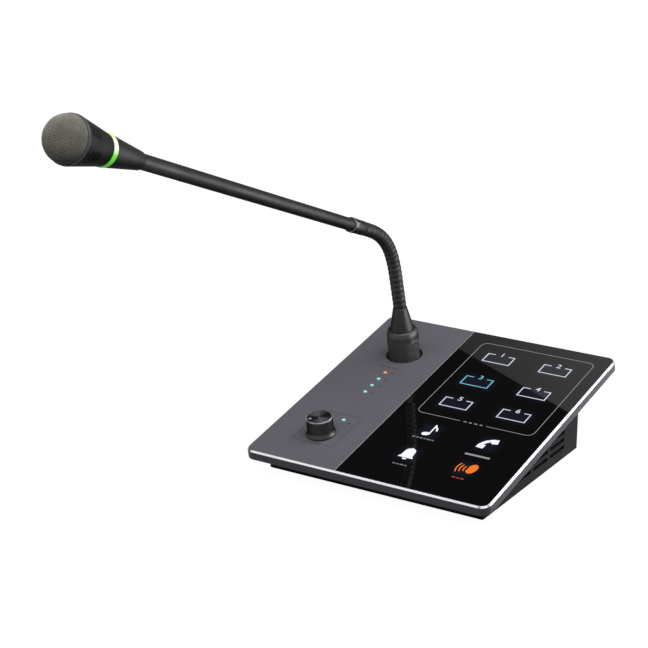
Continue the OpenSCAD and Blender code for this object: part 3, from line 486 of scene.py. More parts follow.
ribbon_finish, tree, surface = new_finish("grey ribbon")
ribbon_bands = {"wave_type": "BANDS", "bands_direction": "X"}
ribbon_lines = put(tree, "TexWave", ribbon_bands, Vector=object_spot(tree), Scale=250.0).outputs["Fac"]
ribbon_tone = remap(tree, ribbon_lines, 0.0, 1.0, 0.8, 1.05)
treat(tree, surface, Base_Color=toned(tree, linear(150, 150, 152), ribbon_tone), Roughness=0.5)
raise_bump(tree, surface, ribbon_lines, 0.15)
dress(ribbon_finish, "panel_cable")

# Touch glass: one sheet of black glass set flush in the plate. Its back is printed black and the
# signs are left clear, so a little of their bluish light spreads in the print round each of them.
backlight_glow, given, result = new_group(
    "backlight glow",
    {"Across": 0.0, "Along": 0.0, "Centre X": 0.0, "Centre V": 0.0, "Half width": 10.0,
     "Half depth": 5.0, "Reach": 8.0}, ("Glow",))
outside = []
for spot, centre, half in (("Across", "Centre X", "Half width"), ("Along", "Centre V", "Half depth")):
    apart = calc(backlight_glow, "SUBTRACT", given[spot], given[centre])
    beyond = calc(backlight_glow, "SUBTRACT", calc(backlight_glow, "ABSOLUTE", apart), given[half])
    outside.append(calc(backlight_glow, "POWER", calc(backlight_glow, "MAXIMUM", beyond, 0.0), 2.0))
glow_reach = calc(backlight_glow, "SQRT", calc(backlight_glow, "ADD", *outside))
glow_share = calc(backlight_glow, "DIVIDE", glow_reach, given["Reach"])
glow_left = calc(backlight_glow, "SUBTRACT", 1.0, glow_share)
glow_fall = calc(backlight_glow, "POWER", calc(backlight_glow, "MAXIMUM", glow_left, 0.0), 2.5)
feed(backlight_glow, glow_fall, result["Glow"])

key_columns = (12.5, 51.8)
key_rows = (152.0, 122.0, 94.4)
key_w = 18.4
key_d = 9.5
lit_key = 3
key_places = [(x, v) for v in key_rows for x in key_columns]
icon_places = {"music": (13.0, 60.0), "bell": (13.2, 33.4), "handset": (52.2, 60.4), "talk": (51.8, 31.6)}
glow_spots = [(x, v, key_w / 2, key_d / 2, 7.0) for x, v in key_places]
glow_spots += [(x, v, 4.0, 5.0, 7.0) for x, v in icon_places.values()]

glass_finish, tree, surface = new_finish("black glass")
spot = use(tree, panel_place)
glow_sum = 0.0
for x, v, half_w, half_d, reach in glow_spots:
    glow = use(tree, backlight_glow, Across=spot["Across"], Along=spot["Along"], Centre_X=x, Centre_V=v,
               Half_width=half_w, Half_depth=half_d, Reach=reach)["Glow"]
    glow_sum = calc(tree, "ADD", glow_sum, glow)
print_cloud = vary(tree, noise(tree, 90.0, 3.0), 0.8, 1.2)
glow_colour = blend(tree, glow_sum, black, (0.0045, 0.0065, 0.0125, 1.0))
treat(tree, surface, Base_Color=toned(tree, (0.0009, 0.0009, 0.001, 1.0), print_cloud),
      Emission_Color=glow_colour, Emission_Strength=1.0, IOR=2.3,
      Roughness=use(tree, handling, Gloss=0.014, Spread=0.008)["Roughness"])
dress(glass_finish, "touch_glass")

# Signs: clear windows in the print behind the glass, lit from the touch board. Six keys have an
# open bracket and a plain number, four have an icon, and short bars stand where captions would be.
sign_low = -0.03
sign_high = 0.03


def lit_print(name, colour, strength):
    material, tree, surface = new_finish(name)
    cloud = vary(tree, noise(tree, 420.0, 3.0), 0.86, 1.08)
    treat(tree, surface, Emission_Color=toned(tree, colour, cloud),
          Base_Color=[part * 0.08 for part in colour[:3]] + [1.0], Emission_Strength=strength,
          Roughness=0.2)
    return material


def arc(centre_x, centre_y, radius, start_deg, end_deg, steps):
    angles = [math.radians(start_deg + (end_deg - start_deg) * step / steps) for step in range(steps + 1)]
    return [(centre_x + radius * math.cos(a), centre_y + radius * math.sin(a)) for a in angles]


def stroke(path, width):
    points = [Vector(point) for point in path]
    left, right = [], []
    for index, point in enumerate(points):
        into = point - points[index - 1] if index else points[1] - point
        out = points[index + 1] - point if index + 1 < len(points) else into
        along = (into.normalized() + out.normalized()).normalized()
        reach = width / 2 / max(0.4, along.dot(out.normalized()))
        aside = Vector((-along.y, along.x)) * reach
        left.append(point + aside)
        right.append(point - aside)
    return [tuple(point) for point in left + right[::-1]]


def bar(x, v, width, depth):
    left, right, near, far = x - width / 2, x + width / 2, v - depth / 2, v + depth / 2
    return [(left, near), (right, near), (right, far), (left, far)]


def add_slab(shape, loop, low, high):
    below = [shape.verts.new((x * MM, v * MM, low * MM)) for x, v in loop]
    above = [shape.verts.new((x * MM, v * MM, high * MM)) for x, v in loop]
    shape.faces.new(below[::-1])
    shape.faces.new(above)
    bridge(shape, below, above)


def add_number(shape, text, x, v, size):
    letters = bpy.data.curves.new("number", "FONT")
    letters.body = text
    letters.size = size * MM
    letters.align_x = "CENTER"
    letters.align_y = "CENTER"
    letters.extrude = (sign_high - sign_low) / 2 * MM
    letters.offset = 0.06 * MM
    letters.resolution_u = 5
    holder = bpy.data.objects.new("number", letters)
    scene.collection.objects.link(holder)
    bpy.context.view_layer.update()
    flat = bpy.data.meshes.new_from_object(holder.evaluated_get(bpy.context.evaluated_depsgraph_get()))
    flat.transform(Matrix.Translation((x * MM, v * MM, (sign_high + sign_low) / 2 * MM)))
    shape.from_mesh(flat)
    bmesh.ops.remove_doubles(shape, verts=shape.verts, dist=0.002 * MM)
    bpy.data.objects.remove(holder)
    bpy.data.curves.remove(letters)
    bpy.data.meshes.remove(flat)


def add_sign(name, loops, finish, numbers=()):
    shape = bmesh.new()
    for loop in loops:
        add_slab(shape, loop, sign_low, sign_high)
    for text, x, v, size in numbers:
        add_number(shape, text, x, v, size)
    add_piece(name, shape, finish, "base", panel_frame)


white_sign = lit_print("white sign light", (0.84, 0.86, 1.0, 1.0), 0.76)
icon_sign = lit_print("bright icon light", (0.9, 0.94, 1.0, 1.0), 1.0)
cyan_sign = lit_print("cyan sign light", (0.2, 0.58, 0.68, 1.0), 0.9)
orange_sign = lit_print("orange sign light", (1.0, 0.2, 0.018, 1.0), 0.92)
red_sign = lit_print("red sign light", (0.5, 0.07, 0.045, 1.0), 0.85)
grey_sign = lit_print("grey sign light", (0.34, 0.34, 0.36, 1.0), 0.85)
caption_sign = lit_print("caption light", (0.2, 0.2, 0.21, 1.0), 1.0)

bracket_line = 0.75
bracket_left = 4.8
bracket_right = 4.4
number_size = 6.2
for index, (x, v) in enumerate(key_places):
    lit = cyan_sign if index + 1 == lit_key else white_sign
    left, right, near, far = x - key_w / 2, x + key_w / 2, v - key_d / 2, v + key_d / 2
    bracket = [(left + bracket_left, far), (left, far), (left, near),
               (right, near), (right, far), (right - bracket_right, far)]
    number = (str(index + 1), x + 0.3, far + 0.8, number_size)
    slot = "cyan_light" if lit is cyan_sign else "white_diffuser"
    add_sign("key_sign_%d" % (index + 1), [stroke(bracket, bracket_line)], lit, [number])

zone_low_v = 77.5
zone_round = 4.5
zone_xs = (-6.1 + zone_round, 72.0 - zone_round)
zone_vs = (zone_low_v + zone_round, 168.4 - zone_round)
zone_gap = (24.3, 41.8)
zone_path = [(zone_gap[0], zone_low_v)]
for side, end, turn in ((0, 0, 270), (0, 1, 180), (1, 1, 90), (1, 0, 0)):
    zone_path += arc(zone_xs[side], zone_vs[end], zone_round, turn, turn - 90, 8)
zone_path.append((zone_gap[1], zone_low_v))
zone_marks = [bar(sum(zone_gap) / 2 + (count - 1.5) * 3.6, zone_low_v, 2.0, 0.9) for count in range(4)]
add_sign("zone_frame", [stroke(zone_path, 0.42)] + zone_marks, grey_sign)

x, v = icon_places["music"]
music_head = [(x - 1.2 + 2.5 * math.cos(a) + 0.5 * math.sin(a), v - 3.1 + 1.9 * math.sin(a))
              for a in (2 * math.pi * step / 20 for step in range(20))]
music_stem = bar(x + 0.9, v + 2.2, 0.95, 11.0)
music_flag = stroke([(x + 0.9, v + 7.4), (x + 1.4, v + 5.7), (x + 3.1, v + 4.0), (x + 3.8, v + 1.4)], 1.1)
add_sign("music_sign", [music_head, music_stem, music_flag], icon_sign)

x, v = icon_places["bell"]
bell_side = [(4.8, -4.2), (4.8, -3.4), (3.8, -2.2), (3.4, 2.2)]
bell_dome = arc(0.0, 2.5, 3.4, 15, 165, 10)
bell_loop = bell_side + bell_dome + [(-a, b) for a, b in reversed(bell_side)]
bell_body = [(x + a, v + b) for a, b in bell_loop]
bell_clapper = arc(x, v - 4.8, 1.5, 180, 360, 10)
bell_knob = arc(x, v + 5.7, 0.8, -10, 190, 8)
add_sign("bell_sign", [bell_body, bell_clapper, bell_knob], icon_sign)

x, v = icon_places["handset"]
grip_x, grip_v, grip_r = x + 4.2, v - 4.1, 8.7
grip = stroke(arc(grip_x, grip_v, grip_r, 96, 178, 14), 2.5)
ends = []
for angle in (100, 174):
    spoke = [(grip_x + r * math.cos(math.radians(angle)), grip_v + r * math.sin(math.radians(angle)))
             for r in (grip_r - 3.3, grip_r + 1.35)]
    ends.append(stroke(spoke, 4.0))
add_sign("handset_sign", [grip] + ends, icon_sign)
add_sign("handset_bar", [bar(x - 0.2, 46.6, 16.2, 1.7)], grey_sign)

x, v = icon_places["talk"]
mouth = [(1.4, 0.4)]
mouth += [(3.8 + 3.0 * math.cos(a) + 0.5 * math.sin(a), 1.4 + 4.9 * math.sin(a))
          for a in (math.radians(205 + 310 * step / 24) for step in range(25))]
talk_mouth = [(x + a, v + b) for a, b in mouth]
talk_waves = [stroke(arc(x + 4.5, v + 0.3, r, 153, 207, 8), 0.75) for r in (5.4, 7.7, 10.0)]
add_sign("talk_sign", [talk_mouth] + talk_waves, orange_sign)

caption_depth = 1.0
caption_space = 0.7
captions = (
    ("music_caption", 12.9, 51.6, (2.2, 1.5, 2.0, 1.2, 2.6, 1.6), caption_sign, "white_diffuser"),
    ("bell_caption", 13.8, 21.6, (1.9, 1.4, 2.4, 1.6), caption_sign, "white_diffuser"),
    ("talk_caption", 52.1, 21.8, (2.2, 1.6, 2.4), red_sign, "amber_light"),
)
for name, x, v, lengths, finish, slot in captions:
    start = x - (sum(lengths) + (len(lengths) - 1) * caption_space) / 2
    bars = []
    for length in lengths:
        bars.append(bar(start + length / 2, v, length, caption_depth))
        start += length + caption_space
    add_sign(name, bars, finish)

# Marks on the plate: thin dark lines printed round the knob, a rising row of bars for volume in
# their gap, and short dashes under the microphone and beside the lights.
ink_finish, tree, surface = new_finish("dark printed ink")
ink_tone = vary(tree, noise(tree, 1500.0, 3.0), 0.85, 1.15)
treat(tree, surface, Base_Color=toned(tree, linear(62, 60, 65), ink_tone), Roughness=0.6)
column_x = joints["volume_turn"]["pos_m"][0] / MM
box_low_x, box_high_x = -61.1, -32.7
box_low_v, box_high_v = 22.3, 57.3
box_gap = (-54.6, -39.6)
box_path = [(box_gap[0], box_low_v), (box_low_x, box_low_v), (box_low_x, box_high_v),
            (box_high_x, box_high_v), (box_high_x, box_low_v), (box_gap[1], box_low_v)]
volume_step = 1.75
volume_bars = []
for count in range(7):
    bar_x = box_gap[0] + 2.2 + volume_step * count
    volume_bars.append(bar(bar_x, box_low_v - 0.7 + 0.18 * count, 0.9, 0.8 + 0.36 * count))
mic_dash_v = 118.0
mic_spans = ((-53.2, 4.4), (-48.4, 3.0), (-44.2, 3.4), (-40.4, 2.2))
mic_dashes = [bar(x, mic_dash_v, width, 1.0) for x, width in mic_spans]
power_dash = [bar(column_x + 9.6, 49.4, 3.0, 0.9)]
signal_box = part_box("signal_light")
signal_v = (panel_frame.inverted() @ ((signal_box[0] + signal_box[1]) / 2)).y / MM
light_step = 8.4
light_dashes = [bar(column_x + 5.0, signal_v - light_step * count, 2.2, 0.9) for count in range(4)]
print_shape = bmesh.new()
for loop in [stroke(box_path, 0.34)] + volume_bars + mic_dashes + power_dash + light_dashes:
    add_slab(print_shape, loop, -0.01, 0.02)
add_piece("strip_print", print_shape, ink_finish, "base", panel_frame)

# Status lights: clear domed lenses over small lamps on the control board, blue-green for the
# level and the power, amber for a signal. They come up through holes in the plate.
def lit_lens(name, edge_colour, core_colour):
    material, tree, surface = new_finish(name)
    rise = measure(tree, "DOT_PRODUCT", put(tree, "NewGeometry").outputs["Normal"], panel_up)
    lamp_cloud = remap(tree, noise(tree, 900.0), 0.2, 0.8, 0.7, 1.0)
    core = calc(tree, "MULTIPLY", remap(tree, rise, 0.88, 0.99), lamp_cloud)
    treat(tree, surface, Emission_Color=blend(tree, core, edge_colour, core_colour),
          Base_Color=edge_colour, Emission_Strength=1.0, Roughness=0.12)
    return material


cyan_lens = lit_lens("blue-green lens", (0.06, 0.2, 0.2, 1.0), (0.5, 1.0, 0.97, 1.0))
amber_lens = lit_lens("amber lens", (0.26, 0.1, 0.03, 1.0), (1.0, 0.48, 0.12, 1.0))
dress(cyan_lens, "level_lights", "power_light")
dress(amber_lens, "signal_light")

# Volume control: a potentiometer on the control board, with a nut on its bush and a knurled shaft.
# Its case is pressed steel, and the knob hides it.
case_colours = (linear(104, 105, 108), linear(148, 148, 146))
case_finish = clouded_metal("pressed steel case", 300.0, 5.0, *case_colours, (0.35, 0.55))
dress(case_finish, "volume_pot", "pot_shaft", "mic_socket", "mic_capsule")

# Volume knob: a cap with a flared skirt and a thin bright rim, coated satin black and pushed on the
# shaft. A spun black disc is glued in its top, with a white dot that points to the setting.
def frame_on_axis(start, axis):
    return frame_at(start, across, axis.cross(across), axis)


def eased(profile, radius, steps=4):
    points = [Vector(point) for point in profile]
    result = []
    for index, point in enumerate(points):
        before = points[index - 1] - point
        after = points[(index + 1) % len(points)] - point
        cut = min(radius, 0.45 * before.length, 0.45 * after.length)
        if point.x < 1e-6:
            result.append(tuple(point))
            continue
        start = point + before.normalized() * cut
        end = point + after.normalized() * cut
        for step in range(steps + 1):
            t = step / steps
            result.append(tuple(start * (1 - t) ** 2 + point * 2 * t * (1 - t) + end * t ** 2))
    return result


def spin(profile, steps=96, relief=None):
    shape = bmesh.new()
    rings = []
    for step in range(steps):
        angle = 2 * math.pi * step / steps
        ring = []
        for radius, height in profile:
            r = radius + relief(angle, radius, height) if relief else radius
            x, y = r * math.cos(angle), r * math.sin(angle)
            ring.append(shape.verts.new((x * MM, y * MM, height * MM)))
        rings.append(ring)
    for ring, after in zip(rings, rings[1:] + rings[:1]):
        bridge(shape, ring, after)
    bmesh.ops.remove_doubles(shape, verts=shape.verts, dist=1e-7)
    return shape


def reach_of(node, place):
    to_local = place.inverted()
    spots = [to_local @ corner.co for corner in frame["nodes"][node].data.vertices]
    heights = [spot.z / MM for spot in spots]
    return min(heights), max(heights), max(math.hypot(spot.x, spot.y) for spot in spots) / MM


coat_tint = (0.06, 0.06, 0.06, 1.0)


def coated_metal(name, colour, gloss, grain_mm=0.28, wear_and_sheen=0.45, metal=0.6):
    material, tree, surface = new_finish(name)
    speck = use(tree, moulded_grain, Grain_size=grain_mm)
    edge = use(tree, worn_highlit_edge, Width=0.22, Rub=wear_and_sheen)["Edge"]
    specked = toned(tree, colour, speck["Tone"])
    # Edges are lightened toward light grey, partly as wear and partly as a painted highlight.
    treat(tree, surface, Base_Color=blend(tree, edge, specked, linear(118, 118, 120)),
          Metallic=metal, Specular_IOR_Level=0.01, Specular_Tint=coat_tint,
          Roughness=use(tree, handling, Gloss=gloss, Spread=0.08)["Roughness"])
    raise_bump(tree, surface, speck["Height"], 0.012)
    return material


knob_frame = frame_on_axis(Vector(joints["volume_turn"]["pos_m"]), panel_up)
knob_low, knob_high, skirt_r = reach_of("volume_knob", knob_frame)
cap_low, cap_high, cap_r = reach_of("knob_cap", knob_frame)
knob_r = 8.25
knob_bevel = 0.6
knob_bore_r = 3.05
nut_room_r = 6.4
nut_room_h = 4.1
lip_top = knob_low + 0.7
skirt_top = knob_low + 3.6
flare_w = skirt_r - knob_r
flare_h = skirt_top - lip_top
flare_r = (flare_w ** 2 + flare_h ** 2) / (2 * flare_w)
flare_turn = math.degrees(math.asin(flare_h / flare_r))
knob_profile = eased([
    (knob_bore_r, nut_room_h), (nut_room_r, nut_room_h), (nut_room_r, knob_low), (skirt_r, knob_low),
    (skirt_r, lip_top - 0.1)], 0.12, 3)
knob_profile += arc(knob_r + flare_r, skirt_top, flare_r, 180 + flare_turn, 180, 12)
cut_low = knob_high - knob_bevel
knob_profile += eased([
    (knob_r - 0.05, cut_low - 0.1), (knob_r - 0.1, cut_low), (cap_r + 0.06, cut_low),
    (cap_r + 0.06, cap_low), (knob_bore_r, cap_low)], 0.05, 2)
knob_finish = coated_metal("satin black knob", linear(76, 76, 77), gloss=0.36, grain_mm=0.35, wear_and_sheen=0.3,
                           metal=0.7)
knob = add_piece("knob_body", spin(knob_profile), knob_finish, "knob", knob_frame)
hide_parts("volume_knob")

cut_colours = (linear(120, 120, 122), linear(150, 150, 150))
cut_finish = clouded_metal("bright cut rim", 800.0, 3.0, *cut_colours, (0.24, 0.34), metal=0.7,
                           depth_mm=0.0)
cut_profile = eased([
    (cap_r + 0.06, cut_low), (knob_r - 0.1, cut_low), (knob_r - knob_bevel, knob_high),
    (cap_r + 0.06, knob_high)], 0.08, 3)
add_piece("knob_rim", spin(cut_profile), cut_finish, "knob", knob_frame)

disc_finish, tree, surface = new_finish("spun black disc")
disc_spot = put(tree, "SeparateXYZ", Vector=object_spot(tree)).outputs
disc_radius = calc(tree, "SQRT", calc(tree, "ADD", calc(tree, "POWER", disc_spot["X"], 2.0),
                                     calc(tree, "POWER", disc_spot["Y"], 2.0)))
disc_grooves = put(tree, "TexNoise", {"noise_dimensions": "1D"}, W=disc_radius, Scale=9000.0, Detail=2.0)
disc_tone = vary(tree, disc_grooves.outputs["Fac"], 0.8, 1.15)
disc_turn = put(tree, "Tangent", {"direction_type": "RADIAL", "axis": "Z"}).outputs["Tangent"]
treat(tree, surface, Base_Color=toned(tree, linear(92, 92, 96), disc_tone), Metallic=1.0,
      Anisotropic=0.85, Anisotropic_Rotation=0.25, Roughness=0.58, Tangent=disc_turn)
dot_proud = 0.1
disc_top = cap_high - dot_proud
disc_profile = [(0.0, cap_low)]
disc_profile += eased([(cap_r, cap_low), (cap_r, disc_top - 0.4), (cap_r - 0.4, disc_top)], 0.08, 3)
disc_profile += [(0.0, disc_top)]
disc = add_piece("knob_disc", spin(disc_profile), disc_finish, "knob", knob_frame)
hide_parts("knob_cap")

dot_finish, tree, surface = new_finish("white enamel dot")
enamel = blend(tree, noise(tree, 2000.0), linear(176, 176, 175), linear(198, 198, 198))
treat(tree, surface, Base_Color=enamel, Roughness=0.3)
raise_bump(tree, surface, noise(tree, 3000.0), 0.005)
dress(dot_finish, "knob_pointer")

# Microphone plug: it carries the stem, and an insulated lead runs from its socket to the control
# board. Both are black plastic, hidden by the ring and the plate.
sheath = moulded_plastic("black lead sheath", linear(36, 36, 37), gloss=0.5, grain_mm=0.4, depth_mm=0.02)
dress(sheath, "mic_lead", "mic_plug")

# Locking ring: turned from bar, rolled with a fine diamond knurl below a smooth shoulder, and
# coated black. It screws down over the socket and clamps the plug.
def divided(start, end, parts):
    run = Vector(end) - Vector(start)
    return [tuple(Vector(start) + run * step / parts) for step in range(parts + 1)]


ring_frame = frame_on_axis(Vector(joints["lock_ring_turn"]["pos_m"]), panel_up)
ring_low, ring_high, ring_r = reach_of("lock_ring", ring_frame)
ring_bore_r = 8.7
ring_top_r = ring_r - 0.1
ring_top = ring_high + 0.9
lip_r = 7.82
lip_depth = 8.8
lip_z = ring_high - lip_depth
shoulder_h = 4.4
shoulder_round = 8.0
knurl_top = ring_low + 13.8
knurl_pitch = 2.0
knurl_depth = 0.34
knurl_count = round(2 * math.pi * ring_r / knurl_pitch)
knurl_low = ring_low + 0.7
knurl_high = knurl_top - 0.6


def knurl(angle, radius, height):
    if radius < ring_r - 1e-4 or not knurl_low <= height <= knurl_high:
        return 0.0
    turn = angle * knurl_count / (2 * math.pi)
    climb = (height - knurl_low) / knurl_pitch
    ridges = [abs(2 * ((turn + sign * climb) % 1.0) - 1) for sign in (1, -1)]
    return -knurl_depth * max(ridges)


ring_profile = [(ring_bore_r, ring_low), (ring_r - 0.5, ring_low), (ring_r - 0.15, ring_low + 0.25)]
ring_profile += divided((ring_r, knurl_low), (ring_r, knurl_high), 80)
ring_profile += [(ring_r - 0.02, knurl_top - 0.3), (ring_top_r, knurl_top)]
shoulder_turn = 29.0
shoulder_middle = (ring_top_r - shoulder_round, ring_top - shoulder_h)
ring_profile += arc(*shoulder_middle, shoulder_round, 0.0, shoulder_turn, 12)
lip_lean = math.tan(math.radians(50.0))
lip_edge_r = ring_profile[-1][0] - (ring_top - ring_profile[-1][1]) * lip_lean
ring_profile += eased([
    (lip_edge_r, ring_top), (lip_r, ring_top), (lip_r, lip_z), (ring_bore_r, lip_z)], 0.12, 3)
ring_coat = coated_metal("black ring coat", linear(77, 77, 78), gloss=0.36, wear_and_sheen=0.6, metal=0.5)
ring_shape = spin(ring_profile, knurl_count * 8, knurl)
ring = add_piece("locking_ring", ring_shape, ring_coat, "lock_ring", ring_frame)
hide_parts("lock_ring")

# Stem: a turned black cone above the ring, fixed to the plug. Its bevelled tip carries the first
# joint of the gooseneck.
bore_r = 1.7
ball_r = 4.0
ball_gap = 0.06
stem_low, _, stem_r = reach_of("stem_cone", ring_frame)
neck_start = Vector(joints["neck_bend"]["pos_m"])
neck_base = (neck_start - ring_frame.translation).dot(panel_up) / MM
stem_top = neck_base - 0.6
stem_tip_r = 4.5


def ball_arc(centre):
    low = math.degrees(math.asin(-0.5 / ball_r))
    high = math.degrees(math.acos(bore_r / ball_r))
    return arc(0.0, centre, ball_r, low, high, 10)


stem_profile = eased([
    (bore_r, stem_low), (stem_r, stem_low), (stem_r, ring_top + 0.2), (stem_tip_r, stem_top - 0.45),
    (stem_tip_r - 0.42, stem_top), (ball_r + 0.02, stem_top)], 0.12, 3)
stem_profile += ball_arc(neck_base)
stem_coat = coated_metal("black stem coat", linear(57, 57, 58), gloss=0.34, wear_and_sheen=0.5)
stem = add_piece("stem", spin(stem_profile), stem_coat, "base", ring_frame)
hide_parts("stem_cone")

# Gooseneck: eleven stiff sections of black-coated metal on ball joints, each with two crowned ribs,
# so that the neck bends and stays. A ball on top of one section sits in the cup of the next.
rib_r = 4.25
rib_step = 3.8
rib_gap = 1.2
rib_drop = 0.16
section_l = 2 * rib_step
cup_r = ball_r + ball_gap


def rib_side(middle):
    half = (rib_step - rib_gap) / 2
    runs = [step / 8 for step in range(-8, 9)]
    return [(rib_r - rib_drop * run ** 4, middle + half * run) for run in runs]


cup_low = math.degrees(math.acos(bore_r / cup_r))
cup_high = math.degrees(math.asin(rib_gap / 2 / cup_r))
section_profile = arc(0.0, 0.0, cup_r, cup_low, cup_high, 8)
section_profile += rib_side(rib_step / 2)
section_profile += [(ball_r, rib_step - rib_gap / 2), (ball_r, rib_step + rib_gap / 2)]
section_profile += rib_side(1.5 * rib_step)
section_profile += [(ball_r, section_l - rib_gap / 2)]
section_profile += ball_arc(section_l)
neck_finish = coated_metal("black neck coat", linear(69, 69, 70), gloss=0.42, grain_mm=0.24, wear_and_sheen=0.3,
                           metal=0.55)
neck_names = ["neck_bend", "neck_sway"]
neck_names += ["%s_%d" % (kind, pair) for pair in range(2, 7) for kind in ("neck_bend", "neck_sway")]
neck_places = [Vector(joints[name]["pos_m"]) for name in neck_names]
section_count = len(neck_places) - 1
for count in range(section_count):
    axis = (neck_places[count + 1] - neck_places[count]).normalized()
    section_frame = frame_on_axis(neck_places[count], axis)
    number = count + 1
    rings = spin(section_profile, 64)
    body = "neck_%d" % number
    section = add_piece("neck_rings_%d" % number, rings, neck_finish, body, section_frame)
    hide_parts("neck_section_%d" % number)

# Arm: a turned ferrule with a raised band grips the end of the gooseneck and holds a thin drawn
# tube, coated black like the neck. A flared adapter at the far end carries the head.
arm_axis = (neck_places[-1] - neck_places[-2]).normalized()
arm_frame = frame_on_axis(neck_places[-1], arm_axis)
ferrule_low, ferrule_high, band_r = reach_of("arm_ferrule", arm_frame)
tube_low, tube_high, tube_r = reach_of("arm_tube", arm_frame)
adapter_low, adapter_high, adapter_r = reach_of("head_adapter", arm_frame)
ferrule_r = band_r - 0.2
tube_near_r = 3.85
tube_wall = 0.9
band_l = 5.6
band_low = ferrule_high - band_l
ferrule_profile = eased([
    (cup_r, ferrule_low), (ferrule_r, ferrule_low), (ferrule_r, band_low - 0.5),
    (ferrule_r - 0.3, band_low - 0.15), (ferrule_r - 0.3, ferrule_high - 0.55),
    (tube_near_r + 0.3, ferrule_high), (tube_near_r + 0.05, ferrule_high),
    (tube_near_r + 0.05, tube_low)], 0.2, 3)
ferrule_cup_high = 11.0
ferrule_profile += [(bore_r, tube_low)] + arc(0.0, 0.0, cup_r, cup_low, ferrule_cup_high, 8)
tube_coat = coated_metal("black tube coat", linear(70, 70, 71), gloss=0.4)
ferrule = add_piece("ferrule", spin(ferrule_profile, 80), tube_coat, "arm", arm_frame)
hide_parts("arm_ferrule")

band_bore_r = ferrule_r - 0.28
band_profile = eased([
    (band_bore_r, band_low + 0.1), (band_r - 0.35, band_low + 0.1), (band_r, band_low + 0.45),
    (band_r, ferrule_high - 0.9), (band_bore_r, ferrule_high - 0.6)], 0.15, 3)
band_coat = coated_metal("satin band coat", linear(98, 98, 99), gloss=0.26, wear_and_sheen=0.3, metal=0.8)
add_piece("ferrule_band", spin(band_profile, 80), band_coat, "arm", arm_frame)

tube_profile = eased([
    (tube_near_r - tube_wall, tube_low), (tube_near_r, tube_low), (tube_near_r, ferrule_high),
    (tube_r, adapter_low), (tube_r, tube_high), (tube_r - tube_wall, tube_high),
    (tube_r - tube_wall, adapter_low), (tube_near_r - tube_wall, ferrule_high)], 0.2, 2)
tube = add_piece("arm_pipe", spin(tube_profile, 80), tube_coat, "arm", arm_frame)
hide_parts("arm_tube")

halo_low, halo_high, halo_r = reach_of("light_ring", arm_frame)
adapter_near_r = 5.0
halo_wall = 2.65
core_r = halo_r - halo_wall
adapter_profile = eased([
    (tube_r + 0.05, adapter_low), (adapter_near_r, adapter_low), (adapter_r, halo_low - 0.3),
    (adapter_r, halo_low), (core_r, halo_low), (core_r, adapter_high),
    (bore_r, adapter_high), (bore_r, tube_high), (tube_r + 0.05, tube_high)], 0.35, 4)
adapter = add_piece("adapter", spin(adapter_profile), tube_coat, "arm", arm_frame)
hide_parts("head_adapter")

# Light ring: a clear green acrylic band round the adapter, lit from a small board behind it.
# Its glow is painted dark green underneath and yellow on top, with a white spot on its right side:
# painted shade and painted highlight.
halo_finish, tree, surface = new_finish("lit green acrylic")
halo_spot = put(tree, "SeparateXYZ", Vector=object_spot(tree)).outputs
# Painted shade and highlight: the glow runs from dark green underneath to yellow on top.
halo_rise = remap(tree, halo_spot["Y"], -halo_r * MM, halo_r * MM)
glow_shade_highlight_ramp = put(tree, "ValToRGB", Fac=halo_rise)
halo_marks = glow_shade_highlight_ramp.color_ramp.elements
glow_shade_highlight_stops = (
    (0.0, (0.02, 0.16, 0.008, 1.0)), (0.28, (0.1, 0.62, 0.02, 1.0)), (0.62, (0.24, 0.95, 0.05, 1.0)),
    (1.0, (0.85, 1.0, 0.05, 1.0)),
)
for stop, (position, colour) in enumerate(glow_shade_highlight_stops):
    mark = halo_marks[stop] if stop < 2 else halo_marks.new(position)
    mark.position = position
    mark.color = colour
# Painted highlight: a white spot on the ring's right side.
painted_highlight_spot = Vector((0.88, 0.42, 0.0)).normalized() * halo_r * MM
ring_flat_place = put(tree, "CombineXYZ", X=halo_spot["X"], Y=halo_spot["Y"]).outputs["Vector"]
painted_highlight = remap(tree, measure(tree, "DISTANCE", ring_flat_place, painted_highlight_spot), 5.4 * MM, 1.8 * MM)
glow_with_painted_light = blend(tree, painted_highlight, glow_shade_highlight_ramp.outputs["Color"], (1.0, 1.0, 0.9, 1.0))
treat(tree, surface, Emission_Color=glow_with_painted_light, Base_Color=(0.03, 0.12, 0.01, 1.0),
      Specular_IOR_Level=0.1, Emission_Strength=1.0, Roughness=0.15)
halo_bore_r = core_r + 0.05
halo_profile = eased([
    (halo_bore_r, halo_low), (halo_r, halo_low), (halo_r, halo_high), (halo_bore_r, halo_high)], 0.45, 5)
halo = add_piece("halo", spin(halo_profile), halo_finish, "arm", arm_frame)
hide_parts("light_ring")

# Head: a cast cone, coated black, with groups of slots that let sound in from behind, and a turned
# rim that clamps the grille. The rim's edges are painted light, partly as wear and partly as a painted
# highlight, beside a dark groove.
head_coat = coated_metal("black head coat", linear(58, 58, 59), gloss=0.42, grain_mm=0.45, wear_and_sheen=0.4,
                         metal=0.5)
dress(head_coat, "head_shell")
rim_low, rim_high, rim_r = reach_of("grille_rim", arm_frame)
grille_low, grille_high, grille_r = reach_of("grille", arm_frame)
rim_bore_r = grille_r - 0.85
rim_profile = eased([
    (rim_bore_r, rim_low), (rim_r - 0.12, rim_low), (rim_r, rim_low + 0.15), (rim_r, rim_low + 0.75),
    (rim_r - 0.35, rim_low + 0.95), (rim_r - 0.35, rim_low + 1.2), (rim_r - 0.05, rim_low + 1.35),
    (rim_r - 0.1, rim_high), (grille_r - 0.1, rim_high), (rim_bore_r, rim_high)], 0.1, 3)
rim_finish, tree, surface = new_finish("dark rim metal")
rim_wear_and_highlight = use(tree, worn_highlit_edge, Width=0.2, Rub=0.8)["Edge"]
rim_tone = use(tree, moulded_grain, Grain_size=0.3)["Tone"]
